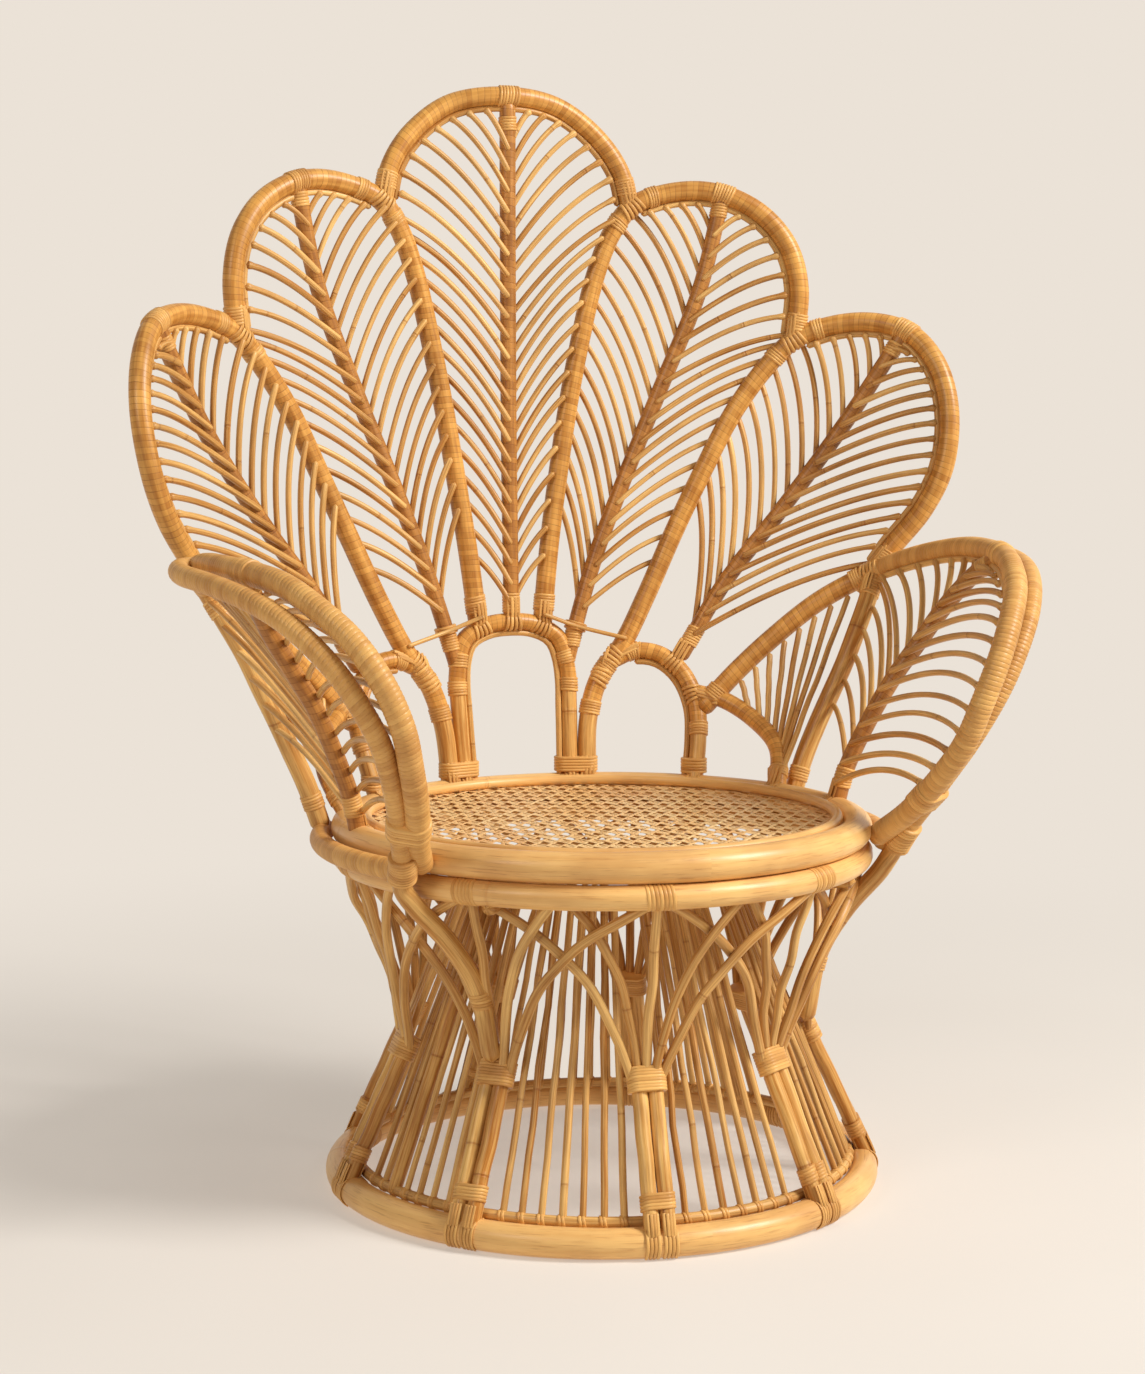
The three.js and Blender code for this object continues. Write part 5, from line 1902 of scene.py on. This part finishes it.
    def _side_leaves(self, word: str, seed: int) -> None:
        """Makes the inner, outer and arm leaf of one side."""
        paths, lines = self.paths, self.paths.side[word]
        inner, outer, arm = lines["inner_rim"], lines["outer_rim"], lines["arm_rim"]
        inner_joint = paths.joint(word, "outer_rim", "inner_rim")
        outer_joint = paths.joint(word, "arm_rim", "outer_rim")
        beside = Stretch(outer, 0.1, inner_joint)
        rows = self._petal_rows(word, "inner", 0.1, 0.0, paths.crown_joint(word), beside)
        crossed = ((inner, 0.012), (lines["inner_spine"], 0.07), (outer, 0.17))
        tie = np.stack([self._before(line, share) for line, share in crossed])
        self.leaf(f"inner {word}", rows, inner, outer, seed, tie)
        rows = self._petal_rows(word, "outer", 0.05, 0.17, inner_joint, Stretch(arm, 0.0, outer_joint))
        self.leaf(f"outer {word}", rows, outer, lines["side_arch"], seed + 1)
        rows = self._arm_rows(word, outer_joint)
        self.leaf(f"arm {word}", rows, arm, paths.upper_ring, seed + 2)


@dataclass
class Frames:
    """The rims, arches, posts and rails, with the thin canes that line them.

    Places on a line are shares of its length, and sinks, reaches and rises are metres.
    """

    paths: Paths
    materials: Materials
    bare_sink: float = 0.0006
    wound_sink: float = 0.0008
    leg_sink: float = 0.001
    lining_sink: float = 0.0008
    lining_samples: int = 17
    crown_lining: Span = (0.015, 0.985)
    lining_start: float = 0.014
    lining_end: float = 0.988
    side_lining_start: float = 0.12
    arm_lining_start: float = 0.025
    arch_bare: Span = (0.24, 0.76)
    arch_collars: tuple[float, ...] = (0.24, 0.31, 0.69, 0.76)
    side_arch_bare: float = 0.72
    outer_bare: float = 0.08
    outer_collar: float = 0.125
    beside_crown: Span = (-0.03, 0.035)
    beside_inner: Span = (-0.026, 0.03)
    beside_outer: float = -0.022
    band_rise: float = 0.0115
    band_reach: float = 0.02
    band_beside_lining: float = 0.0070
    band: Winding = Winding(pitch=0.0038, rise=0.0012, lean=0.0)
    foot_part: int = 5
    twin_share: float = 0.925
    twin_reach: float = 0.03
    twin: Winding = Winding(pitch=0.0046, rise=0.0018)
    wound: Winding = Winding(pitch=0.0052, rise=0.0007, lean=0.0022)
    knot: Winding = Winding(pitch=0.0042, rise=0.0020)
    knot_past: float = 0.008
    knot_swell: float = 0.0025
    leg_collar: float = 0.93
    quarter_ribs: int = 8
    quarter_shares: Span = (0.4, 0.95)
    quarter_ends: Span = (0.2, 0.85)
    quarter_wander: float = 0.0004

    def _pole(self, bundle: Bundle, line: Line, bare: tuple[Span, ...] = ()) -> None:
        """Makes a wrapped pole whose given stretches are left bare.

        Args:
            bundle: the bundle that takes it.
            line: its path.
            bare: shares between which it is bare.
        """
        cuts = sorted({0.0, 1.0, *(share for pair in bare for share in pair)})
        for start, stop in zip(cuts, cuts[1:]):
            middle = 0.5 * (start + stop)
            is_bare = any(low <= middle <= high for low, high in bare)
            part = line.part(start, stop, WRAPPED_SPACING)
            thick = line.radius - self.bare_sink if is_bare else line.radius
            bundle.tube(part.samples, thick, Finish.POLE if is_bare else Finish.WRAPPED, sides=20, tone=0.4)

    def _lining(self, node: str, line: Line, span: Span, middle: Array, seed: int) -> None:
        """Makes the thin cane that lines a rim or an arch.

        Args:
            node: the CAD node.
            line: path of the rim.
            span: shares of it between which it is lined.
            middle: the point that the lining lies towards.
            seed: seed of its small differences.
        """
        lining = self.paths.poles.lining
        distance = line.radius + lining - self.lining_sink
        bundle = Bundle(self.paths.sizes, seed)
        path = Line(smooth(inset(line, *span, distance, middle, self.lining_samples)))
        bundle.tube(path.points(BARE_SPACING), lining, Finish.CANE)
        bundle.make(node, self.materials)

    def _twin_band(self, bundle: Bundle, first: Line, second: Line, share: float) -> None:
        """Bands two poles together where they run side by side.

        The long side of the band lies along D = q - p, so its guide is D x T.

        Args:
            bundle: the bundle that takes the band.
            first: one pole.
            second: the other pole.
            share: where on the first pole the band is.
        """
        near, tangent = first.at(share), first.tangent(share)
        apart = second.at(second.near(near)) - near
        along = np.linspace(-self.twin_reach, self.twin_reach, BAND_STATIONS)[:, None]
        middle = Line(near + 0.5 * apart + tangent * along, first.radius)
        span = 0.5 * float(np.linalg.norm(apart))
        guide = unit(np.cross(apart, tangent))
        bundle.bind(middle, 0.5, 6, span=span, guide=guide, winding=self.twin)

    def _foot(self, bundle: Bundle, line: Line, at_end: bool, strands: int = 0) -> None:
        """Bands the foot of a pole above the seat ring and lays straps over the ring."""
        bundle.joint(line, at_end, self.paths.upper_ring, strands=strands, straps=4, gap=0.001)

    def _band_point(self, line: Line, at_end: bool) -> Array:
        """Where a pole passes the height of the bands above the seat ring."""
        samples = line.samples[::-1] if at_end else line.samples
        low = samples[: len(samples) // self.foot_part]
        height = self.paths.sizes.seat_height + self.band_rise
        return np.array([np.interp(height, low[:, 2], low[:, axis]) for axis in range(3)])

    def _shared_band(self, bundle: Bundle, first: Array, second: Array, towards: Array) -> None:
        """Bands two poles, or one twice, together with the lining beside the first.

        Args:
            bundle: the bundle that takes the band.
            first: where the lined pole passes the height of the band.
            second: where the other pole passes it.
            towards: a point on the side of the lining.
        """
        level = (towards - first) * (1.0, 1.0, 0.0)
        first = first + unit(level) * self.band_beside_lining
        upright = UP * np.linspace(-self.band_reach, self.band_reach, BAND_STATIONS)[:, None]
        middle = Line(0.5 * (first + second) + upright, self.paths.poles.rim)
        span = 0.5 * float(np.linalg.norm(second - first))
        bundle.bind(middle, 0.5, 5, span=span, winding=self.band)

    def build(self) -> None:
        """Makes the crown, the arches and both sides."""
        paths, sizes, seed = self.paths, self.paths.sizes, SEEDS["crown"]
        bundle = Bundle(sizes, seed)
        self._pole(bundle, paths.crown)
        for at_end, word in ((True, "right"), (False, "left")):
            rim = paths.side[word]["inner_rim"]
            bundle.joint(paths.crown, at_end, rim, strands=6, straps=5, gap=0.002)
        bundle.make("centre_petal_rim", self.materials)
        middle = paths.centre_spine.at(0.5)
        self._lining("centre_petal_lining", paths.crown, self.crown_lining, middle, seed + 1)
        arch, middle = paths.centre_arch, sizes.on_back(1, CENTRE_ARCH_MIDDLE)[0]
        bundle = Bundle(sizes, seed + 2)
        self._pole(bundle, arch, ((0.0, self.arch_bare[0]), (self.arch_bare[1], 1.0)))
        for share in self.arch_collars:
            bundle.bind(arch, share, 5)
        for at_end, word in ((False, "left"), (True, "right")):
            self._foot(bundle, arch, at_end)
            beside = self._band_point(paths.side[word]["outer_rim"], False)
            self._shared_band(bundle, self._band_point(arch, at_end), beside, middle)
        bundle.make("centre_arch", self.materials)
        self._lining("centre_arch_lining", arch, (0.0, 1.0), middle, seed + 3)
        for number, word in enumerate(SIDES):
            self._petals(word, SEEDS["petals"] + 20 * number)
            self._arm(word, SEEDS["arms"] + 20 * number)

    def _petals(self, word: str, seed: int) -> None:
        """Makes the rims of the two petals of one side, their linings and the side arch."""
        paths, sizes, lines = self.paths, self.paths.sizes, self.paths.side[word]
        inner, outer, arch = lines["inner_rim"], lines["outer_rim"], lines["side_arch"]
        crown_joint = paths.crown_joint(word)
        inner_joint = paths.joint(word, "outer_rim", "inner_rim")
        bundle = Bundle(sizes, seed)
        self._pole(bundle, inner)
        bundle.joint(inner, False, paths.centre_arch, strands=6, straps=4, gap=0.004)
        bundle.joint(inner, True, outer, strands=6, straps=5, gap=0.002)
        for beside in self.beside_crown:
            bundle.bind(inner, crown_joint + beside, 4)
        bundle.make(f"inner_petal_rim_{word}", self.materials)
        bundle = Bundle(sizes, seed + 1)
        self._pole(bundle, outer, ((0.0, self.outer_bare),))
        bundle.joint(outer, True, lines["arm_rim"], strands=6, straps=5, gap=0.002)
        for beside in self.beside_inner:
            bundle.bind(outer, inner_joint + beside, 4)
        bundle.bind(outer, self.outer_bare, 5)
        bundle.bind(outer, self.outer_collar, 6)
        self._foot(bundle, outer, False)
        bundle.make(f"outer_petal_rim_{word}", self.materials)
        for number, (petal, joint) in enumerate((("inner", crown_joint), ("outer", inner_joint)), 2):
            span = (joint + self.lining_start, self.lining_end)
            rim, middle = lines[f"{petal}_rim"], lines[f"{petal}_spine"].at(0.5)
            self._lining(f"{petal}_petal_lining_{word}", rim, span, middle, seed + number)
        bundle = Bundle(sizes, seed + 4)
        self._pole(bundle, arch, ((self.side_arch_bare, 1.0),))
        bundle.joint(arch, False, outer, strands=5, straps=4, gap=0.002)
        bundle.bind(arch, self.side_arch_bare, 5)
        self._foot(bundle, arch, True)
        foot, middle = self._band_point(arch, True), sizes.on_back(SIDES[word], SIDE_ARCH_MIDDLE)[0]
        self._shared_band(bundle, foot, foot, middle)
        bundle.make(f"side_arch_{word}", self.materials)
        self._lining(f"side_arch_lining_{word}", arch, (self.side_lining_start, 1.0), middle, seed + 5)

    def _arm(self, word: str, seed: int) -> None:
        """Makes one arm: its wound rim and pole, its post, lining, base rail and quarter arch."""
        paths, poles, sizes = self.paths, self.paths.poles, self.paths.sizes
        lines, side = paths.side[word], SIDES[word]
        arm, pole, post = lines["arm_rim"], lines["arm_pole"], lines["arm_post"]
        joint = paths.joint(word, "arm_rim", "outer_rim")
        bundle = Bundle(sizes, seed)
        start = arm.part(0.0, joint, WRAPPED_SPACING)
        bundle.tube(start.samples, arm.radius - self.wound_sink, Finish.WRAPPED, sides=20, tone=0.5)
        bundle.wound(arm.part(joint, 1.0), self.wound)
        bundle.bind(arm, joint + self.beside_outer, 4)
        bundle.joint(arm, False, lines["outer_rim"], strands=5, straps=0, gap=0.0)
        bundle.make(f"arm_rim_{word}", self.materials)
        bundle = Bundle(sizes, seed + 1)
        low = pole.near(sizes.on_arm(side, [ARM_POLE_SHARES[-2]])[0])
        bundle.wound(pole.part(0.0, low), self.wound)
        leg, leg_radius = pole.part(low, 1.0, BARE_SPACING), pole.radius - self.leg_sink
        bundle.tube(leg.samples, leg_radius, Finish.POLE, sides=18, tone=0.4)
        self._twin_band(bundle, arm, pole, self.twin_share)
        knot_radius = pole.radius + self.knot_swell
        bundle.bind(pole, low + self.knot_past, 9, radius=knot_radius, winding=self.knot)
        bundle.bind(pole, self.leg_collar, 5, radius=leg_radius)
        bundle.make(f"arm_pole_{word}", self.materials)
        bundle = Bundle(sizes, seed + 2)
        bundle.tube(post.points(BARE_SPACING), post.radius, Finish.POLE, sides=18)
        bundle.joint(post, False, arm, strands=6, straps=4, gap=0.001)
        self._foot(bundle, post, True, 5)
        bundle.make(f"arm_post_{word}", self.materials)
        span = (joint + self.arm_lining_start, ARM_LINING_END)
        self._lining(f"arm_lining_{word}", arm, span, lines["arm_spine"].at(0.5), seed + 3)
        bundle = Bundle(sizes, seed + 4)
        radius = sizes.seat_radius + poles.upper_ring + RING_GAP + poles.rail
        height = np.full(len(RAIL_DEGREES), paths.upper_height - poles.rail)
        rail = smooth(sizes.around(np.array(RAIL_DEGREES) * side, radius, height))
        bundle.wound(Line(rail, poles.rail), self.wound)
        bundle.make(f"arm_base_rail_{word}", self.materials)
        self._quarter(word, joint, seed + 5)

    def _quarter(self, word: str, joint: float, seed: int) -> None:
        """Makes a quarter arch and the small fan of ribs that rise from it to the arm's rim.

        Args:
            word: the side.
            joint: share of the arm's rim at which the outer petal ends on it.
            seed: seed of its small differences.
        """
        lines, rib = self.paths.side[word], self.paths.poles.rib
        arm, quarter = lines["arm_rim"], lines["quarter_arch"]
        bundle = Bundle(self.paths.sizes, seed)
        self._pole(bundle, quarter)
        edge = Line(inset(arm, 0.0, joint, arm.radius + rib, lines["arm_post"].at(0.5)))
        starts = quarter.at(np.linspace(*self.quarter_shares, self.quarter_ribs))
        ends = edge.at(np.linspace(*self.quarter_ends, self.quarter_ribs))
        for start, end in zip(starts, ends):
            straight = Line(np.stack([start, end])).at(np.linspace(0, 1, 12))
            bundle.tube(bundle.wandering(straight, self.quarter_wander), rib, Finish.CANE, sides=8)
        bundle.joint(quarter, False, lines["side_arch"], strands=5, straps=4, gap=0.001)
        self._foot(bundle, quarter, True, 4)
        bundle.make(f"quarter_arch_{word}", self.materials)


@dataclass(frozen=True)
class Lamp:
    """A soft square lamp: where it stands, its width in metres, its watts and its colour."""

    name: str
    place: Point
    size: float
    power: float
    colour: Point


@dataclass
class Studio:
    """The pale floor, the soft lights and the camera of the photograph.

    The yaw turns the camera away from the axis of the chair; lengths are in metres, angles in degrees.
    """

    sizes: ChairSizes
    azimuth: float = -21.65
    distance: float = 3.0189
    height: float = 0.9159
    pitch: float = 6.30
    yaw: float = -0.652
    focal_pixels: float = 2607.4
    frame_height: float = 1374.0
    sensor: float = 36.0
    floor_reach: float = 14.0
    fill_strength: float = 0.12
    lit: Point = (0.0, 0.0, 0.6)
    lamps: tuple[Lamp, ...] = (
        Lamp("key", (3.3, -2.85, 3.9), 1.7, 366.0, (1.0, 0.985, 0.96)),
        Lamp("left_fill", (-3.0, -1.9, 2.4), 1.0, 32.0, (1.0, 0.99, 0.97)),
    )

    def _camera(self) -> None:
        """Places the camera where the photograph was taken from."""
        data = bpy.data.cameras.new("camera")
        data.sensor_fit = "VERTICAL"
        data.sensor_height = self.sensor
        data.lens = self.focal_pixels * self.sensor / self.frame_height
        made = bpy.data.objects.new("camera", data)
        a = math.radians(self.azimuth)
        across, along = self.distance * math.sin(a), self.distance * math.cos(a)
        made.location = (across, self.sizes.axis_y - along, self.height)
        turned = a - math.radians(self.yaw)
        made.rotation_euler = (math.radians(90.0 - self.pitch), 0.0, turned)
        bpy.context.scene.collection.objects.link(made)
        bpy.context.scene.camera = made

    def _lamp(self, lamp: Lamp) -> None:
        """Adds one lamp that faces the chair."""
        data = bpy.data.lights.new(lamp.name, "AREA")
        data.size = lamp.size
        data.energy = lamp.power
        data.color = lamp.colour
        made = bpy.data.objects.new(lamp.name, data)
        way = np.subtract(self.lit, lamp.place)
        flat = math.hypot(way[0], way[1])
        made.location = lamp.place
        made.rotation_euler = (math.atan2(flat, -way[2]), 0.0, math.atan2(-way[0], way[1]))
        bpy.context.scene.collection.objects.link(made)

    def _floor(self, effects: Effects, far: Colour) -> None:
        """Lays the floor, a square that fades into the backdrop's colour."""
        mesh = bpy.data.meshes.new("studio_floor")
        reach = self.floor_reach
        corners = np.array([[-reach, -reach, 0], [reach, -reach, 0], [reach, reach, 0], [-reach, reach, 0]])
        mesh.from_pydata(corners, [], [(0, 1, 2, 3)])
        mesh.uv_layers.new(name=WRAP_MAP)
        finish = FloorFinish("studio_floor", linear(248, 241, 232), far)
        mesh.materials.append(finish.build(effects))
        floor = bpy.data.objects.new("studio_floor", mesh)
        bpy.context.scene.collection.objects.link(floor)

    def _world(self, far: Colour) -> None:
        """Sets the world: the backdrop where it is seen or mirrored, and a dim warm fill as light."""
        world = bpy.data.worlds.new("studio")
        world.use_nodes = True
        bpy.context.scene.world = world
        world.node_tree.nodes.clear()
        w = Wiring(world.node_tree)
        fill = w.fed("ShaderNodeBackground", linear(255, 241, 220), self.fill_strength)
        seen = w.fed("ShaderNodeBackground", far)
        path = w.node("ShaderNodeLightPath").outputs
        direct = w.math("MAXIMUM", path["Is Camera Ray"], path["Is Transmission Ray"])
        direct = w.math("MAXIMUM", direct, path["Is Glossy Ray"])
        mixed = w.fed("ShaderNodeMixShader", direct, fill, seen)
        w.feed(w.node("ShaderNodeOutputWorld").inputs["Surface"], mixed)

    def build(self, effects: Effects) -> None:
        """Makes the camera, the floor, the world and the lamps."""
        far = linear(235, 226, 215)
        self._camera()
        self._floor(effects, far)
        self._world(far)
        for lamp in self.lamps:
            self._lamp(lamp)


def main() -> None:
    """Builds the chair in order."""
    logging.basicConfig(level=logging.INFO, format="%(name)s: %(message)s")
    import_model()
    low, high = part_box("upper_seat_ring")
    sizes = ChairSizes(axis_y=0.5 * (low[1] + high[1]))
    effects = Effects()
    materials = build_palette(effects)
    Studio(sizes).build(effects)
    bpy.context.scene.view_settings.view_transform = "Standard"
    paths = Paths(sizes, PoleSizes())
    for sub_assembly in (SeatRings, CaneSeat, LegBase, SpindleCage, Leaves, Frames):
        sub_assembly(paths, materials).build()
    bpy.context.view_layer.update()


if __name__ == "__main__":
    main()
